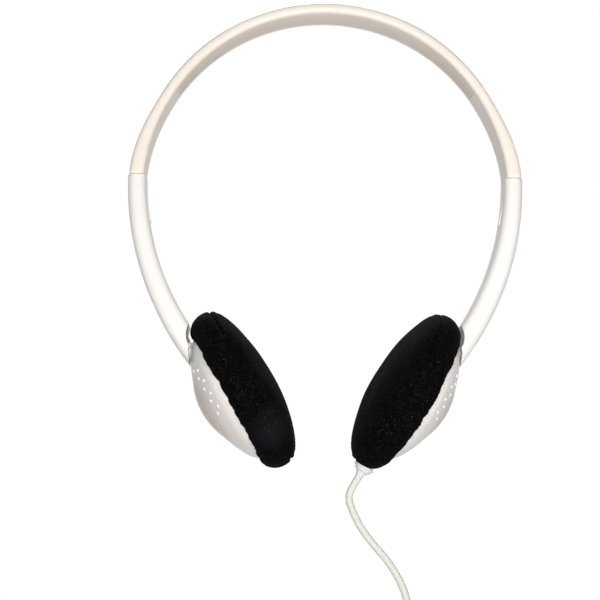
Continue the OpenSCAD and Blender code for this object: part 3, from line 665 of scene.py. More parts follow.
def plug_metal():
    """Plated pin with fine turning marks and two dark insulating rings."""
    look = sizes().finish
    made = Finish("plug_metal")
    height = made.start.out("ShaderNodeSeparateXYZ", 2, Vector=made.place)
    below = (plug_point().z - sizes().cord.plug_len) - height
    rings = sum((below > start) * (below < start + PIN_RING) for start in PIN_RINGS)
    marks = made.start.out("ShaderNodeTexNoise", 0, {"noise_dimensions": "1D"}, W=height, Scale=9000,
                           Detail=1)
    made.set(Base_Color=rings.mixed(look.gilt, (0.02, 0.02, 0.02)), Metallic=1 - rings,
             Roughness=0.18 + 0.14 * marks + 0.2 * rings)
    return made.material


def shaded(rgb, share):
    """Darker or lighter tone of a colour."""
    return tuple(min(1, share * part) for part in rgb)


def metal(name, rgb, grain):
    """Rolled or ground metal with marks along one way."""
    made = Finish(name, Metallic=1.0)
    stretched = made.start.out("ShaderNodeMapping", 0, Vector=made.place, Scale=(1, 1, 0.06))
    marks = made.noise(grain, 3, place=stretched)
    made.set(Base_Color=(marks * 0.5).mixed(rgb, shaded(rgb, 0.7)), Roughness=0.25 + 0.2 * marks)
    made.bump(marks, 0.00002, 0.4)
    return made.material


def matt(name, rgb, grain, rough):
    """Matt moulded plastic, rubber or felt with a grain of its own."""
    made = Finish(name)
    specks = made.noise(grain, 4, 0.6)
    made.set(Base_Color=specks.mixed(shaded(rgb, 0.7), shaded(rgb, 1.3)), Roughness=rough + 0.15 * specks)
    made.bump(specks, 0.00006, 0.6)
    return made.material


def copper_wire():
    """Close turns of lacquered wire."""
    made = Finish("copper_wire", Metallic=1.0)
    turns = made.start.out("ShaderNodeTexWave", 0, {"wave_type": "BANDS", "bands_direction": "X"},
                           Vector=made.place, Scale=900, Distortion=0.4)
    made.set(Base_Color=turns.mixed((0.36, 0.15, 0.06), (0.75, 0.36, 0.18)), Roughness=0.3 + 0.2 * turns)
    made.bump(turns, 0.00005, 0.6)
    return made.material


FINISHES = {
    "ivory_plastic": lambda: moulded("ivory_plastic", sizes().finish.ivory),
    "band_plastic": lambda: moulded("band_plastic", sizes().finish.band),
    "liner_plastic": liner_plastic,
    "black_foam": black_foam,
    "cord_rubber": cord_rubber,
    "gland_rubber": gland_rubber,
    "plug_metal": plug_metal,
    "copper_wire": copper_wire,
    "spring_steel": lambda: metal("spring_steel", tuple(sizes().finish.steel), 700),
    "magnet": lambda: metal("magnet", (0.12, 0.12, 0.13), 1500),
    "lead_rubber": lambda: matt("lead_rubber", (0.08, 0.08, 0.08), 800, 0.55),
    "bearing_plastic": lambda: matt("bearing_plastic", (0.07, 0.07, 0.07), 1200, 0.4),
    "black_plastic": lambda: matt("black_plastic", (0.02, 0.02, 0.02), 1400, 0.45),
    "clear_film": lambda: matt("clear_film", (0.55, 0.6, 0.66), 500, 0.2),
    "grey_felt": lambda: matt("grey_felt", (0.09, 0.09, 0.09), 2600, 0.8),
    "board": lambda: matt("board", (0.02, 0.12, 0.05), 500, 0.4),
    "tie_rubber": lambda: matt("tie_rubber", (0.02, 0.02, 0.02), 900, 0.6),
}


def finish_of(slot):
    """Material of a slot, made the first time that it is asked for."""
    return bpy.data.materials.get(f"{slot}_finish") or FINISHES[slot]()


# Cord's route, as in the part's source

# How far the cord goes into the gland
GLAND_MOUTH = 2 * MM
ROUTE = [Vector(point) * MM for point in (
    (9.1, 1.8, -111), (10.9, 1.4, -117.3), (14, 1, -123), (18, 0.7, -128.2), (22.6, 0.5, -133.5),
    (27, 0.2, -140.4), (29.8, 0, -148), (31, 0, -157), (31, 0, -168))]
ROUTE_STEPS = 3
# Turns in a layer of the coil, and in the climb to the next
COIL_TURNS = 2.625
CLIMB_TURNS = 0.5
# Heights of the tail's points over the plug's mouth, the last inside it
TAIL_RISES = (15 * MM, 8 * MM, 0, -3 * MM)


def coil_centre():
    """Middle of the coil's first layer, just below the end of the free cord."""
    cord = sizes().cord
    return ROUTE[-1] - Vector((cord.coil_r, 0, cord.diameter))


def plug_point():
    """Place where the cord's tail goes into the plug."""
    cord = sizes().cord
    return coil_centre() + Vector((cord.coil_r, cord.coil_step * (cord.layers - 1), -cord.tail))


def gland_points():
    """Places on the gland's axis just inside its mouth and at its tip."""
    cord, place = sizes().cord, cup_place("right")
    return [place @ Vector((-out, 0, -cord.gland_depth))
            for out in (cord.gland_tip - GLAND_MOUTH, cord.gland_tip)]


def along(line, i, t):
    """Point on a smooth curve through line, at share t from point i to the next."""
    last = len(line) - 1
    a, b, c, d = line[max(0, i - 1)], line[i], line[min(last, i + 1)], line[min(last, i + 2)]
    square, cube = 2 * a - 5 * b + 4 * c - d, 3 * b - a - 3 * c + d
    return (2 * b + (c - a) * t + square * t ** 2 + cube * t ** 3) / 2


def coil_point(turns):
    """Layers that spiral in and out, with half a turn of climb between two layers."""
    cord = sizes().cord
    part = COIL_TURNS + CLIMB_TURNS
    layer = min(cord.layers - 1, math.floor(turns / part))
    here = turns - layer * part
    climb = max(0, (here - COIL_TURNS) / CLIMB_TURNS)
    run = min(here, COIL_TURNS) * cord.coil_step + cord.coil_dip * math.sin(math.pi * climb)
    r = cord.coil_r - run if layer % 2 == 0 else cord.coil_r - COIL_TURNS * cord.coil_step + run
    angle = math.tau * turns
    return coil_centre() + Vector((r * math.cos(angle), cord.coil_step * (layer + smooth(climb)),
                                   -r * math.sin(angle)))


def cord_points():
    """Whole line of the cord: out of the gland, down to the coil, round it and on to the plug."""
    cord = sizes().cord
    line = gland_points() + ROUTE
    free = [line[0]] + [along(line, i, step / ROUTE_STEPS)
                        for i in range(1, len(line) - 1) for step in range(ROUTE_STEPS)]
    total = cord.layers * (COIL_TURNS + CLIMB_TURNS) - CLIMB_TURNS
    coil = [coil_point(step / cord.steps) for step in range(round(total * cord.steps) + 1)]
    return free + [ROUTE[-1]] + coil + [plug_point() + Vector((0, 0, rise)) for rise in TAIL_RISES]


# Stage

# Width of the camera's sensor in mm, side of the picture and place of the frame's origin in it, in pixels
SENSOR = 36
PICTURE = 600
ORIGIN_AT = (324.68, 191.16)
# Point that the lamps face
AIM = Vector((0, 0, -0.03))
FLOOR_Z = -0.24
FLOOR_HALF = 2.2
LAMPS = (
    # name, place, size, watts
    ("key", (0.0, -0.94, -0.14), 0.3, 5.6),
    ("low", (0.02, -0.24, -0.07), 0.12, 0.22),
    ("back", (0.0, 0.7, 0.6), 0.4, 4.0),
)
# Strength of the room as a light, how white the floor shows, and the tone in which it throws light back
ROOM_LIGHT = 0.15
FLOOR_WHITE = 0.92
FLOOR_TONE = (0.86, 0.86, 0.86)


def seen_directly(start):
    """1 where a ray comes from the camera, a gloss or a clear piece."""
    rays = start.node("ShaderNodeLightPath")
    wires = [Wire(start.tree, rays.outputs[name])
             for name in ("Is Camera Ray", "Is Glossy Ray", "Is Transmission Ray")]
    return wires[0].math("MAXIMUM", wires[0].math("MAXIMUM", *wires[:2]), wires[2])


class HEADPHONES_OT_stage(bpy.types.Operator):
    """Camera, lamps, white room and floor"""
    bl_idname = "headphones.stage"
    bl_label = "Stage"

    def execute(self, context):
        scene = context.scene
        scene.view_settings.view_transform = "Standard"
        view = scene.headphones.stage
        lens = bpy.data.cameras.new("camera")
        lens.lens, lens.sensor_width = view.lens, SENSOR
        camera = bpy.data.objects.new("camera", lens)
        round_it = Matrix.Rotation(view.azimuth, 3, "Z") @ Matrix.Rotation(-view.elevation, 3, "X")
        camera.location = round_it @ Vector((0, -view.distance, 0))
        look, across, up = (round_it @ axis for axis in (Y_AXIS, X_AXIS, Z_AXIS))
        focal = view.lens / SENSOR * PICTURE
        look = look * focal - across * (ORIGIN_AT[0] - PICTURE / 2) - up * (PICTURE / 2 - ORIGIN_AT[1])
        level = look.to_track_quat("-Z", "Y").to_matrix()
        camera.rotation_euler = (level @ Matrix.Rotation(view.roll, 3, "Z")).to_euler()
        scene.collection.objects.link(camera)
        scene.camera = camera
        for name, place, size, watts in LAMPS:
            lamp = bpy.data.lights.new(name, "AREA")
            lamp.shape, lamp.size, lamp.energy = "DISK", size, watts
            holder = bpy.data.objects.new(name, lamp)
            holder.location = place
            holder.rotation_euler = (AIM - Vector(place)).to_track_quat("-Z", "Y").to_euler()
            scene.collection.objects.link(holder)
        self.room(scene)
        self.floor()
        return {"FINISHED"}

    def room(self, scene):
        world = bpy.data.worlds.new("room")
        world.use_nodes = True
        scene.world = world
        start = Wire(world.node_tree, None)
        shade = world.node_tree.nodes["Background"]
        shade.inputs["Color"].default_value = (1, 1, 1, 1)
        strength = ROOM_LIGHT + (1 - ROOM_LIGHT) * seen_directly(start)
        fill_socket(world.node_tree, shade.inputs["Strength"], strength)

    def floor(self):
        bm = bmesh.new()
        bmesh.ops.create_grid(bm, x_segments=8, y_segments=8, size=FLOOR_HALF)
        bmesh.ops.translate(bm, vec=(0, 0, FLOOR_Z), verts=bm.verts)
        ground = object_of("floor", bm)
        paper = bpy.data.materials.new("paper")
        paper.use_nodes = True
        tree = paper.node_tree
        tree.nodes.remove(tree.nodes["Principled BSDF"])
        start = Wire(tree, None)
        white = start.out("ShaderNodeEmission", 0, Color=(1, 1, 1), Strength=1.0)
        plain = start.out("ShaderNodeBsdfDiffuse", 0, Color=FLOOR_TONE)
        share = seen_directly(start) * FLOOR_WHITE
        mixed = start.out("ShaderNodeMixShader", 0, in0=share, in1=plain, in2=white)
        tree.links.new(mixed.socket, tree.nodes["Material Output"].inputs["Surface"])
        ground.data.materials.append(paper)


# Cord and what is on it

# Places along the gland's axis: its flange in the cup, the barrel's end and the rim of the pad
GLAND_SEAT = 21.8 * MM
GLAND_BARREL = 29.4 * MM
GLAND_RIM = 31.2 * MM
GLAND_EDGE = 0.22 * MM
# Ribs of the plug's relief and rings of its grip: how many, first place, step and depth
RIBS, RIB_AT, RIB_STEP, RIB_DEEP = 5, 0.6 * MM, 1.25 * MM, 0.45 * MM
GRIPS, GRIP_AT, GRIP_STEP, GRIP_DEEP = 6, 11 * MM, 1.6 * MM, 0.35 * MM
# Starts of the pin's insulating rings, their width and their depth
PIN_RINGS = (5.2 * MM, 8 * MM)
PIN_RING = 0.7 * MM
RING_DEEP = 0.12 * MM
TIE_CORNER = 2.2 * MM
TIE_EDGE = 0.2 * MM


def hanging(place):
    """Frame at a place, with Z down."""
    return Matrix.Translation(place) @ Matrix.Rotation(math.pi, 4, "X")


class HEADPHONES_OT_cord(bpy.types.Operator):
    """Cord with its gland, tie, plug and pin"""
    bl_idname = "headphones.cord"
    bl_label = "Cord and plug"

    def execute(self, context):
        cord = context.scene.headphones.cord
        points = cord_points()
        line = bpy.data.curves.new("cord", "CURVE")
        line.dimensions, line.bevel_depth, line.bevel_resolution = "3D", cord.diameter / 2, 4
        line.use_fill_caps = True
        spline = line.splines.new("POLY")
        spline.points.add(len(points) - 1)
        for spot, point in zip(spline.points, points):
            spot.co = (*point, 1)
        spline.use_smooth = True
        sleeve = bpy.data.objects.new("cord", line)
        context.scene.collection.objects.link(sleeve)
        line.materials.append(finish_of("cord_rubber"))
        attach(sleeve, "right_cup")
        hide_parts("cord_stretch", "cord_coil")
        on_it = [self.gland(cord), self.tie(cord), self.plug(cord), self.pin(cord)]
        reach = sum((b - a).length for a, b in zip(points, points[1:]))
        tuple(gland_points()[1])
        return {"FINISHED"}

    def gland(self, cord):
        """Bell with a flange against the pad and two soft ridges."""
        wide, thin, bore = cord.gland_r, cord.gland_tip_r, cord.diameter / 2 + 0.05 * MM
        flange, collar, barrel = wide + 0.4 * MM, wide + 0.5 * MM, wide - 0.55 * MM
        neck = [(barrel, GLAND_SEAT + 0.8 * MM), (barrel, GLAND_BARREL), (wide, GLAND_BARREL)]
        inner = [(bore, GLAND_SEAT), (flange, GLAND_SEAT), (flange, GLAND_SEAT + 0.8 * MM), *neck]
        outer = [(r, GLAND_RIM + up * MM) for r, up in (
            (wide, -0.5), (collar, -0.5), (collar, 0.3), (wide - 0.05 * MM, 0.5), (wide - 0.35 * MM, 1.4),
            (thin + 0.25 * MM, 1.7), (thin - 0.1 * MM, 2.3), (bore + 0.2 * MM, 2.8), (bore + 0.12 * MM, 3.3),
            (bore, 3.3))]
        soft = [(n, GLAND_EDGE) for n in (7, 8, 10, 11, 12)]
        bm = lathe(inner + outer, soft, ROUND_STEPS)
        obj = object_of("gland", moved(bm, cup_place("right") @ gland_frame()))
        return finished(obj, finish_of("gland_rubber"), "right_cup", ["cord_gland"])

    def tie(self, cord):
        """Band strapped round one side of the coil."""
        low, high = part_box("cord_tie")
        bm = box_of(low, high)
        ends = [f for f in bm.faces if abs(f.normal.z) > 0.9]
        bmesh.ops.delete(bm, geom=ends, context="FACES_ONLY")
        rims = [e for e in bm.edges if e.is_boundary]
        corners = [e for e in bm.edges if e not in rims]
        rounded(bm, corners, TIE_CORNER, 6)
        bmesh.ops.recalc_face_normals(bm, faces=bm.faces)
        bmesh.ops.solidify(bm, geom=bm.faces[:], thickness=cord.tie_t)
        obj = object_of("coil_tie", clean(bm))
        softened(obj, TIE_EDGE)
        return finished(obj, finish_of("tie_rubber"), "right_cup", ["cord_tie"])

    def plug(self, cord):
        """Moulded body with a ribbed relief and grip rings."""
        r, end, core = cord.plug_r, cord.plug_len, cord.diameter / 2
        section = [(0, 0), (core + 0.9 * MM, 0)]
        for rib in range(RIBS):
            at, out = RIB_AT + RIB_STEP * rib, core + (0.95 + 0.1 * rib) * MM
            section += [(out, at), (out - RIB_DEEP, at + 0.2 * MM), (out - RIB_DEEP, at + 0.6 * MM),
                        (out + 0.08 * MM, at + 0.8 * MM)]
        section += [(core + 1.5 * MM, 7 * MM), (r - 0.6 * MM, 7.6 * MM), (r, 8.8 * MM)]
        for grip in range(GRIPS):
            at = GRIP_AT + GRIP_STEP * grip
            section += [(r, at), (r - GRIP_DEEP, at + 0.3 * MM), (r - GRIP_DEEP, at + 0.7 * MM), (r, at + MM)]
        section += [(r, end - 2 * MM), (r - 0.8 * MM, end - MM), (r - 0.8 * MM, end), (0, end)]
        count = len(section)
        bm = lathe(section, [(count - 4, 0.4 * MM), (count - 3, 0.3 * MM)], ROUND_STEPS)
        obj = object_of("plug_grip", moved(bm, hanging(plug_point())))
        return finished(obj, finish_of("gland_rubber"), "right_cup", ["plug_body"])

    def pin(self, cord):
        """Stereo pin with its tip and two insulating rings."""
        r, end = cord.pin_r, cord.pin_len
        section = [(0, 0), (r, 0)]
        for ring in PIN_RINGS:
            bottom, stop = r - RING_DEEP, ring + PIN_RING
            section += [(r, ring), (bottom, ring), (bottom, stop), (r, stop)]
        section += [(r, end - 3.4 * MM), (r - 0.45 * MM, end - 2.9 * MM), (r - 0.12 * MM, end - 1.9 * MM),
                    (0.55 * MM, end - 0.2 * MM), (0, end)]
        count = len(section)
        bm = lathe(section, [(count - 3, 0.3 * MM), (count - 2, 0.2 * MM)], BORE_STEPS)
        place = hanging(plug_point() - Vector((0, 0, cord.plug_len)))
        obj = object_of("plug_contact", moved(bm, place))
        return finished(obj, finish_of("plug_metal"), "right_cup", ["plug_pin"], angle=25)


# Headband

# How far the bow is swept past the joints before its ends are cut level
BAND_OVER = math.radians(6)
# How far the tools for the liner's recess and the slots stand out of the bow
RECESS_OUT = 2 * MM
SLOT_OUT = 6 * MM
LINER_TRIM = math.radians(0.05)


class HEADPHONES_OT_headband(bpy.types.Operator):
    """Bow of the headband with its liner strip"""
    bl_idname = "headphones.headband"
    bl_label = "Headband"

    def execute(self, context):
        band = context.scene.headphones.band
        inner = band.radius - band.crown_t
        bow = object_of("headband", self.bow(band))
        softened(bow, EDGE_R)
        ends = (math.pi / 2 + band.liner_angle, math.pi / 2 - band.liner_angle)
        recess = strip_of(inner - RECESS_OUT, inner + band.liner_t, band.liner_w, 0, Vector(), *ends,
                          steps=72)
        carved(bow, recess)
        low = Vector((-band.slot_inset - band.slot_t / 2, -band.slot_w / 2, -SLOT_OUT))
        high = Vector((-band.slot_inset + band.slot_t / 2, band.slot_w / 2, band.slot_depth))
        for side in SIDES.values():
            carved(bow, moved(box_of(low, high), Matrix.Scale(side, 4, X_AXIS) @ slide_frame()))
        finished(bow, finish_of("band_plastic"), "headband", ["headband_shell"])
        strip = strip_of(inner, inner + band.liner_t, band.liner_w - STRIP_PLAY, EDGE_R, Vector(),
                         ends[0] - LINER_TRIM, ends[1] + LINER_TRIM, steps=120)
        liner = object_of("liner_strip", strip)
        finished(liner, finish_of("liner_plastic"), "headband", ["headband_liner"])
        return {"FINISHED"}

    def bow(self, band):
        """Rounded oblong section swept over the head, swelling to a socket at each end."""
        middle = band.radius - band.crown_t / 2
        reach = band.joint_angle + BAND_OVER
        bm = strip_of(band.radius - band.crown_t, band.radius, band.width, band.rounding, Vector(),
                      math.pi / 2 + reach, math.pi / 2 - reach, steps=128)
        for v in bm.verts:
            angle = math.atan2(v.co.x, v.co.z)
            across = (math.hypot(v.co.x, v.co.z) - middle) / (band.crown_t / 2)
            swell = smooth((abs(angle) - band.flare_start) / (band.joint_angle - band.flare_start))
            thick = band.crown_t + (band.end_t - band.crown_t) * swell
            r = band.radius + band.flare * swell - thick / 2 + across * thick / 2
            v.co = (r * math.sin(angle), v.co.y, r * math.cos(angle))
        sliced(bm, joint_point(), -Z_AXIS)
        return clean(bm)


# Arms

# Radius of the dome's neck, and room round it in the arm's end
SEAT_WIDE = 3.6 * MM
SEAT_ROOM = 0.8 * MM
# How far the arm is swept above the joint, where it is cut level, and past the ball
ARM_OVER = math.radians(4)
ARM_PAST = math.radians(0.7)
# How far the tool for the cover's recess stands out of the arm
COVER_OUT = MM
COVER_TRIM = math.radians(0.04)
BELLY_STEPS = 8
# Catch's top as a share of its foot, in width, in height at the upper end, and in length at either end
CATCH_TOP_W, CATCH_TOP_H, CATCH_UPPER, CATCH_LOWER = 0.75, 0.3, 0.8, 0.92
CATCH_EDGE = 0.16 * MM
# Pieces of an arm and their slots
ARM_SLOTS = {"arm_shell": "ivory_plastic", "arm_cover": "liner_plastic"}


class HEADPHONES_OT_arms(bpy.types.Operator):
    """Both arms with their cover strips and thumb catches"""
    bl_idname = "headphones.arms"
    bl_label = "Arms"

    def execute(self, context):
        arm = context.scene.headphones.arm
        shapes = (self.shell(arm), self.cover(arm))
        for side in SIDES:
            for shape, (kind, slot) in zip(shapes, ARM_SLOTS.items()):
                name = f"{side}_{kind}_skin"
                obj = mirrored(shape, name) if side == "left" else shape
                obj.name = name
                finished(obj, finish_of("ivory_plastic"), f"{side}_arm", [f"{side}_{kind}"])
        return {"FINISHED"}

    def shell(self, arm):
        """Tapered strip with room at its end for the cup's motion, and a recess for the cover."""
        inner, centre = arm.in_r, arm_centre()
        bm = strip_of(inner, inner + arm.thick, arm.wide, arm.rounding, centre, ARM_OVER - arm.start,
                      -arm.pivot_angle - ARM_PAST, steps=96)
        for v in bm.verts:
            spot = v.co - centre
            angle, r = math.atan2(spot.z, spot.x), math.hypot(spot.x, spot.z)
            share = (-arm.start - angle) / arm.taper
            if r > inner + arm.thick / 2:
                r += (arm.end_t - arm.thick) * share
            side = math.copysign((arm.end_w - arm.wide) / 2 * share, spot.y)
            v.co = centre + polar(r, angle) + Vector((0, spot.y + side, 0))
        sliced(bm, joint_point() - Vector((0, 0, arm.joint_gap)), Z_AXIS)
        obj = object_of("right_arm", clean(bm))
        softened(obj, EDGE_R)
        cup = sizes().cup
        # The neck's room comes first, because this carve fails after the others
        carved(obj, moved(stud_knob(SEAT_WIDE + SEAT_ROOM, cup.seat_r + cup.seat_gap), cup_frame(0)))
        for tilt in (cup.tilt_out, -cup.tilt_in):
            for swivel in (-cup.swivel_max, 0, cup.swivel_max):
                carved(obj, moved(self.room_of(cup), cup_frame(swivel, tilt)))
        recess = strip_of(inner - COVER_OUT, inner + arm.cover_t, arm.cover_w, 0, centre, arm.cover_from,
                          arm.cover_to, steps=48)
        carved(obj, recess)
        return obj

    def room_of(self, cup):
        """Space that the cup and its pad take up, with a little clearance."""
        pad, gap = sizes().pad, cup.gap
        out, deep = pad.radius - pad.lip_r + 2 * gap, pad.lip_n - pad.belly + 3 * gap
        belly = [(pad.lip_r + out * across, -pad.belly - deep * down)
                 for across, down in arc_of(1, 0, math.pi / 2, BELLY_STEPS)]
        return lathe([(0, dome_n(0) - CONE_BULGE - gap), (cup.corner_r, -cup.side_h - 1.5 * gap),
                      (cup.corner_r + gap, -cup.side_h), *belly, (belly[-1][0], 0), (0, 0)])

    def cover(self, arm):
        """Thin strip with a thumb catch that rises toward its lower end."""
        inner = arm.in_r
        strip = strip_of(inner, inner + arm.cover_t, arm.cover_w - STRIP_PLAY, EDGE_R, arm_centre(),
                         arm.cover_from - COVER_TRIM, arm.cover_to + COVER_TRIM, steps=64)
        obj = object_of("right_cover", strip)
        half = arm.catch_len / 2
        catch = box_of((-arm.catch_h, -arm.cover_w / 3, -half), (arm.cover_t / 2, arm.cover_w / 3, half))
        for v in catch.verts:
            if v.co.x < 0:
                v.co.y *= CATCH_TOP_W
                v.co.x *= CATCH_TOP_H if v.co.z > 0 else 1
                v.co.z *= CATCH_UPPER if v.co.z > 0 else CATCH_LOWER
        rounded(catch, catch.edges[:], CATCH_EDGE, 3)
        place = Matrix.Translation(arm_centre()) @ Matrix.Rotation(-arm.catch_at, 4, "Y")
        carved(obj, moved(catch, place @ Matrix.Translation((inner, 0, 0))), "UNION")
        return obj


# Cups

# Radius of each arc of pips, angle of its first pip, step and count on either side
PIP_ROWS = ((19.5 * MM, 50, 15.5, 4), (17 * MM, 38, 16.5, 5))
CONE_BULGE = 0.45 * MM
CONE_STEP = MM
CAP_STEPS = 14
# Roundings of the dome's corner and the rim's, and where the cone stops short of the first
CORNER_EDGE = 3.2 * MM
CORNER_FREE = 3.4 * MM
RIM_EDGE = 0.5 * MM
# Length of the way for the stud's neck, and what it opens beyond the tilt
WAY_REACH = 12 * MM
WAY_SPARE = math.radians(1)
# How much narrower than the gland its hole in the cup is
GLAND_GRIP = 0.5 * MM


def dome_n(r):
    """Depth of the dome's cone at radius r."""
    cup = sizes().cup
    return -cup.side_h - (cup.corner_r - r) * math.tan(cup.slope)


def cone_n(r):
    """Depth of the cone with its slight bulge."""
    cup = sizes().cup
    return dome_n(r) - CONE_BULGE * math.sin(math.pi * (r - cup.crease_r) / (cup.corner_r - cup.crease_r))


class HEADPHONES_OT_cups(bpy.types.Operator):
    """Both cup shells with their raised pips"""
    bl_idname = "headphones.cups"
    bl_label = "Cups"

    def execute(self, context):
        cup, cord = context.scene.headphones.cup, context.scene.headphones.cord
        for side in SIDES:
            obj = object_of(f"{side}_cup_dome", self.shell(cup))
            carved(obj, self.seat(cup), "UNION")
            carved(obj, self.pips(cup), "UNION")
            wide = cup.neck_r + WAY_REACH * math.tan(max(cup.tilt_in, cup.tilt_out) + WAY_SPARE)
            way = lathe([(0, 0), (cup.neck_r, 0), (wide, WAY_REACH), (0, WAY_REACH)], (), BORE_STEPS)
            carved(obj, moved(way, stud_frame()))
            if side == "right":
                bore = rod(cord.gland_r - GLAND_GRIP, 0, cord.gland_tip)
                carved(obj, moved(bore, gland_frame()))
            hung(obj, side)
            finished(obj, finish_of("ivory_plastic"), f"{side}_cup",
                     [f"{side}_cup_shell"], angle=24)
        return {"FINISHED"}

    def shell(self, cup):
        """Rim, side, cone and rounded cap, hollow behind, with a fine crease round the cap."""
        apex = dome_n(cup.crease_r) - cup.cap_h
        ball = (cup.crease_r ** 2 + cup.cap_h ** 2) / (2 * cup.cap_h)
        edge = math.asin(cup.crease_r / ball)
        cap = [(across, apex + ball - up) for across, up in arc_of(ball, 0, edge, CAP_STEPS)[:-1]]
        groove = [(cup.crease_r - 0.12 * MM, dome_n(cup.crease_r) - 0.05 * MM),
                  (cup.crease_r, dome_n(cup.crease_r) + 0.1 * MM),
                  (cup.crease_r + 0.15 * MM, dome_n(cup.crease_r + 0.15 * MM))]
        steps = int((cup.corner_r - CORNER_FREE - cup.crease_r) / CONE_STEP)
        cone = [(r, cone_n(r)) for r in (cup.crease_r + CONE_STEP * i for i in range(1, steps))]
        corner = len(cap) + len(groove) + len(cone)
        outside = [(cup.corner_r, -cup.side_h), (cup.rim_r, -cup.rim_h), (cup.rim_r, 0)]
        inside = [(cup.rim_r - cup.wall, 0), (cup.rim_r - cup.wall, -cup.rim_h),
                  (cup.corner_r - cup.wall, -cup.side_h + cup.wall),
                  (cup.crease_r, dome_n(cup.crease_r) + cup.wall / math.cos(cup.slope)), (0, apex + cup.wall)]
        edges = [(corner, CORNER_EDGE), (corner + 1, RIM_EDGE)]
        return lathe(cap + groove + cone + outside + inside, edges, steps=192)

    def seat(self, cup):
        """Neck that stands out of the dome inside the arm's end."""
        inward = Vector((-math.sin(cup.slope), 0, math.cos(cup.slope)))
        face = Vector((cup.corner_r, 0, -cup.side_h)) + cup.wall / 2 * inward
        return sliced(stud_knob(SEAT_WIDE, cup.seat_r), face, inward)

    def pips(self, cup):
        """Two arcs of small balls, sunk in the cone."""
        bm = bmesh.new()
        for r, first, step, count in PIP_ROWS:
            for side in SIDES.values():
                for i in range(count):
                    turn_by = Matrix.Rotation(math.radians(side * (first + step * i)), 4, "Z")
                    spot = Matrix.Translation((r, 0, cone_n(r) + cup.pip_r / 4))
                    bmesh.ops.create_uvsphere(bm, u_segments=16, v_segments=10, radius=cup.pip_r,
                                              matrix=turn_by @ spot)
        return bm


# Ear pads

BAFFLE_T = 1.4 * MM
FRONT_STEPS = 74
SIDE_STEPS = 40
# How full the crowned front is toward its edge
CROWN_POWER = 1.5
# Points of the seam's groove: how far inside its edge, and height
SEAM = ((0.35 * MM, 1.5 * MM), (0.02 * MM, 0.8 * MM), (0.02 * MM, 0.4 * MM))
# Share of the arc over the belly at which the side starts, below the seam
SIDE_FROM = 0.85
# Way for the gland: clearance, and its ends along the gland's axis
GLAND_FREE = 0.2 * MM
GLAND_WAY = (20 * MM, 40 * MM)
# Wavy lip: depth at which it starts, how far it slips, waves and teeth for a radian, and the teeth's share
LIP_FROM = 5 * MM
LIP_SLIP = 0.6 * MM
LIP_WAVES, LIP_TEETH, TEETH_SHARE = 9, 45, 0.6
# Height and size of the soft lumps, and size of the nap's tufts
LUMP_H = 0.28 * MM
LUMP_SIZE = 11 * MM
TUFT_SIZE = 0.55 * MM
# Points this close to the hollow's faces and to the lip's edge belong to them
FACE_NEAR = 0.08 * MM
LIP_NEAR = 0.05 * MM
# Step in the noise from one pad to the next
PAD_SHIFT = Vector((7.3, 3.1, 0))


def pad_back():
    """Height of the hollow's floor, over the baffle."""
    return BAFFLE_T + sizes().pad.gap


def side_r(depth):
    """Radius of the cup's side at a depth behind the rim."""
    cup = sizes().cup
    down = max(0, (depth - cup.rim_h) / (cup.side_h - cup.rim_h))
    return cup.rim_r + (cup.corner_r - cup.rim_r) * down


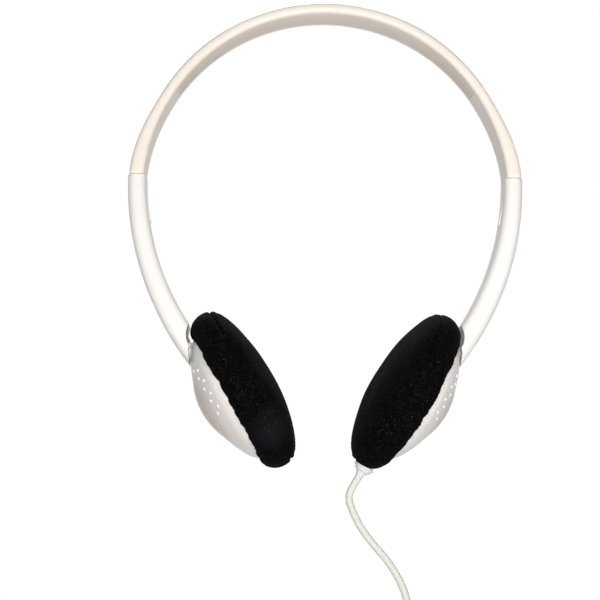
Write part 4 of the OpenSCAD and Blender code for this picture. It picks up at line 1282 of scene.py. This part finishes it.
class HEADPHONES_OT_pads(bpy.types.Operator):
    """Both foam ear pads"""
    bl_idname = "headphones.pads"
    bl_label = "Ear pads"

    def execute(self, context):
        pad, cord = context.scene.headphones.pad, context.scene.headphones.cord
        for number, side in enumerate(SIDES):
            bm = lathe(self.section(pad), (), pad.steps)
            self.sculpt(bm, pad, number)
            obj = object_of(f"{side}_pad", bm)
            if side == "right":
                bore = rod(cord.gland_r + GLAND_FREE, *GLAND_WAY, steps=40)
                carved(obj, moved(bore, gland_frame()))
            hung(obj, side)
            finished(obj, finish_of("black_foam"), f"{side}_cup", [f"{side}_ear_pad"], angle=80)
        return {"FINISHED"}

    def section(self, pad):
        """Crowned front, seam groove, rounded side and lip, and the hollow that holds the cup."""
        cup = sizes().cup
        points = []
        for i in range(FRONT_STEPS + 1):
            t = math.pi / 2 * (1 - i / FRONT_STEPS)
            rise = (pad.crown - pad.base) * math.sin(t) ** CROWN_POWER
            points.append((pad.front_r * math.cos(t), pad.base + rise))
        edge = pad.seam_r + pad.seam_depth
        points += [(edge - inside, height) for inside, height in SEAM] + [(edge - pad.seam_depth / 2, 0)]
        out, deep = pad.radius - pad.lip_r, pad.lip_n - pad.belly
        first = SIDE_FROM * math.asin(min(1, pad.belly / deep))
        for i in range(1, SIDE_STEPS + 1):
            t = first - (math.pi / 2 + first) * i / SIDE_STEPS
            points.append((pad.lip_r + out * math.cos(t), -pad.belly + deep * math.sin(t)))
        back = pad_back()
        points += [(side_r(pad.lip_n) + pad.gap, -pad.lip_n), (cup.rim_r + pad.gap, -cup.rim_h),
                   (cup.rim_r + pad.gap, back), (0, back)]
        return points

    def sculpt(self, bm, pad, seed):
        """Soft unevenness, a wavy lip and a short nap."""
        bmesh.ops.recalc_face_normals(bm, faces=bm.faces)
        bm.normal_update()
        cup = sizes().cup
        steep = (cup.rim_r - cup.corner_r) / (cup.side_h - cup.rim_h)
        shift = PAD_SHIFT * seed
        moves = []
        for v in bm.verts:
            p, r = v.co, math.hypot(v.co.x, v.co.y)
            angle = math.atan2(p.y, p.x)
            lip = smooth((-p.z - LIP_FROM) / (pad.lip_n - LIP_FROM))
            waves = noise.noise(Vector((LIP_WAVES * angle, seed, 0.3)))
            teeth = noise.noise(Vector((LIP_TEETH * angle, seed, 5)))
            down = Vector((-steep * math.cos(angle), -steep * math.sin(angle), -1)).normalized()
            slip = down * (LIP_SLIP * lip * (waves + TEETH_SHARE * teeth))
            if r < side_r(-p.z) + pad.gap + FACE_NEAR and p.z < pad_back() + FACE_NEAR:
                moves.append(p + slip if p.z < LIP_NEAR - pad.lip_n else p.copy())
                continue
            lumps = LUMP_H * noise.noise(p / LUMP_SIZE + shift)
            nap = pad.fuzz * noise.noise(p / TUFT_SIZE + shift)
            moves.append(p + v.normal * (lumps + nap) + slip)
        for v, spot in zip(bm.verts, moves):
            v.co = spot


# Parts that keep their CAD shapes

class HEADPHONES_OT_inner_parts(bpy.types.Operator):
    """Finishes of the parts inside the band, the arms and the cups"""
    bl_idname = "headphones.inner_parts"
    bl_label = "Inner parts"

    def execute(self, context):
        for row in frame["record"]["subparts"]:
            obj = frame["nodes"][row["node"]]
            # A stud shows in the gap beside the dome, so it is coated like the arm
            coated = row["node"].endswith("ball_stud")
            obj.data.materials.clear()
            obj.data.materials.append(finish_of("ivory_plastic" if coated else row["material_slot"]))
        return {"FINISHED"}


class HEADPHONES_PT_panel(bpy.types.Panel):
    """Lists the pieces of the headphones"""
    bl_idname = "HEADPHONES_PT_panel"
    bl_label = "Headphones"
    bl_space_type = "VIEW_3D"
    bl_region_type = "UI"
    bl_category = "Headphones"

    def draw(self, context):
        for operator in OPERATORS:
            self.layout.operator(operator.bl_idname)
        for group in context.scene.headphones.bl_rna.properties:
            if group.type == "POINTER" and group.identifier != "rna_type":
                self.layout.label(text=group.name)
                holder = getattr(context.scene.headphones, group.identifier)
                for row in holder.bl_rna.properties:
                    if row.identifier not in ("rna_type", "name"):
                        self.layout.prop(holder, row.identifier)


OPERATORS = (HEADPHONES_OT_stage, HEADPHONES_OT_cord, HEADPHONES_OT_headband, HEADPHONES_OT_arms,
             HEADPHONES_OT_cups, HEADPHONES_OT_pads, HEADPHONES_OT_inner_parts)
CLASSES = (BandSizes, ArmSizes, CupSizes, PadSizes, CordSizes, Finishes, StageSettings, HeadphoneSettings,
           *OPERATORS, HEADPHONES_PT_panel)


def register():
    for kind in CLASSES:
        bpy.utils.register_class(kind)
    bpy.types.Scene.headphones = PointerProperty(type=HeadphoneSettings)


def unregister():
    del bpy.types.Scene.headphones
    for kind in reversed(CLASSES):
        bpy.utils.unregister_class(kind)


def main():
    register()
    for operator in OPERATORS:
        group, name = operator.bl_idname.split(".")
        getattr(getattr(bpy.ops, group), name)()


if __name__ == "__main__":
    main()
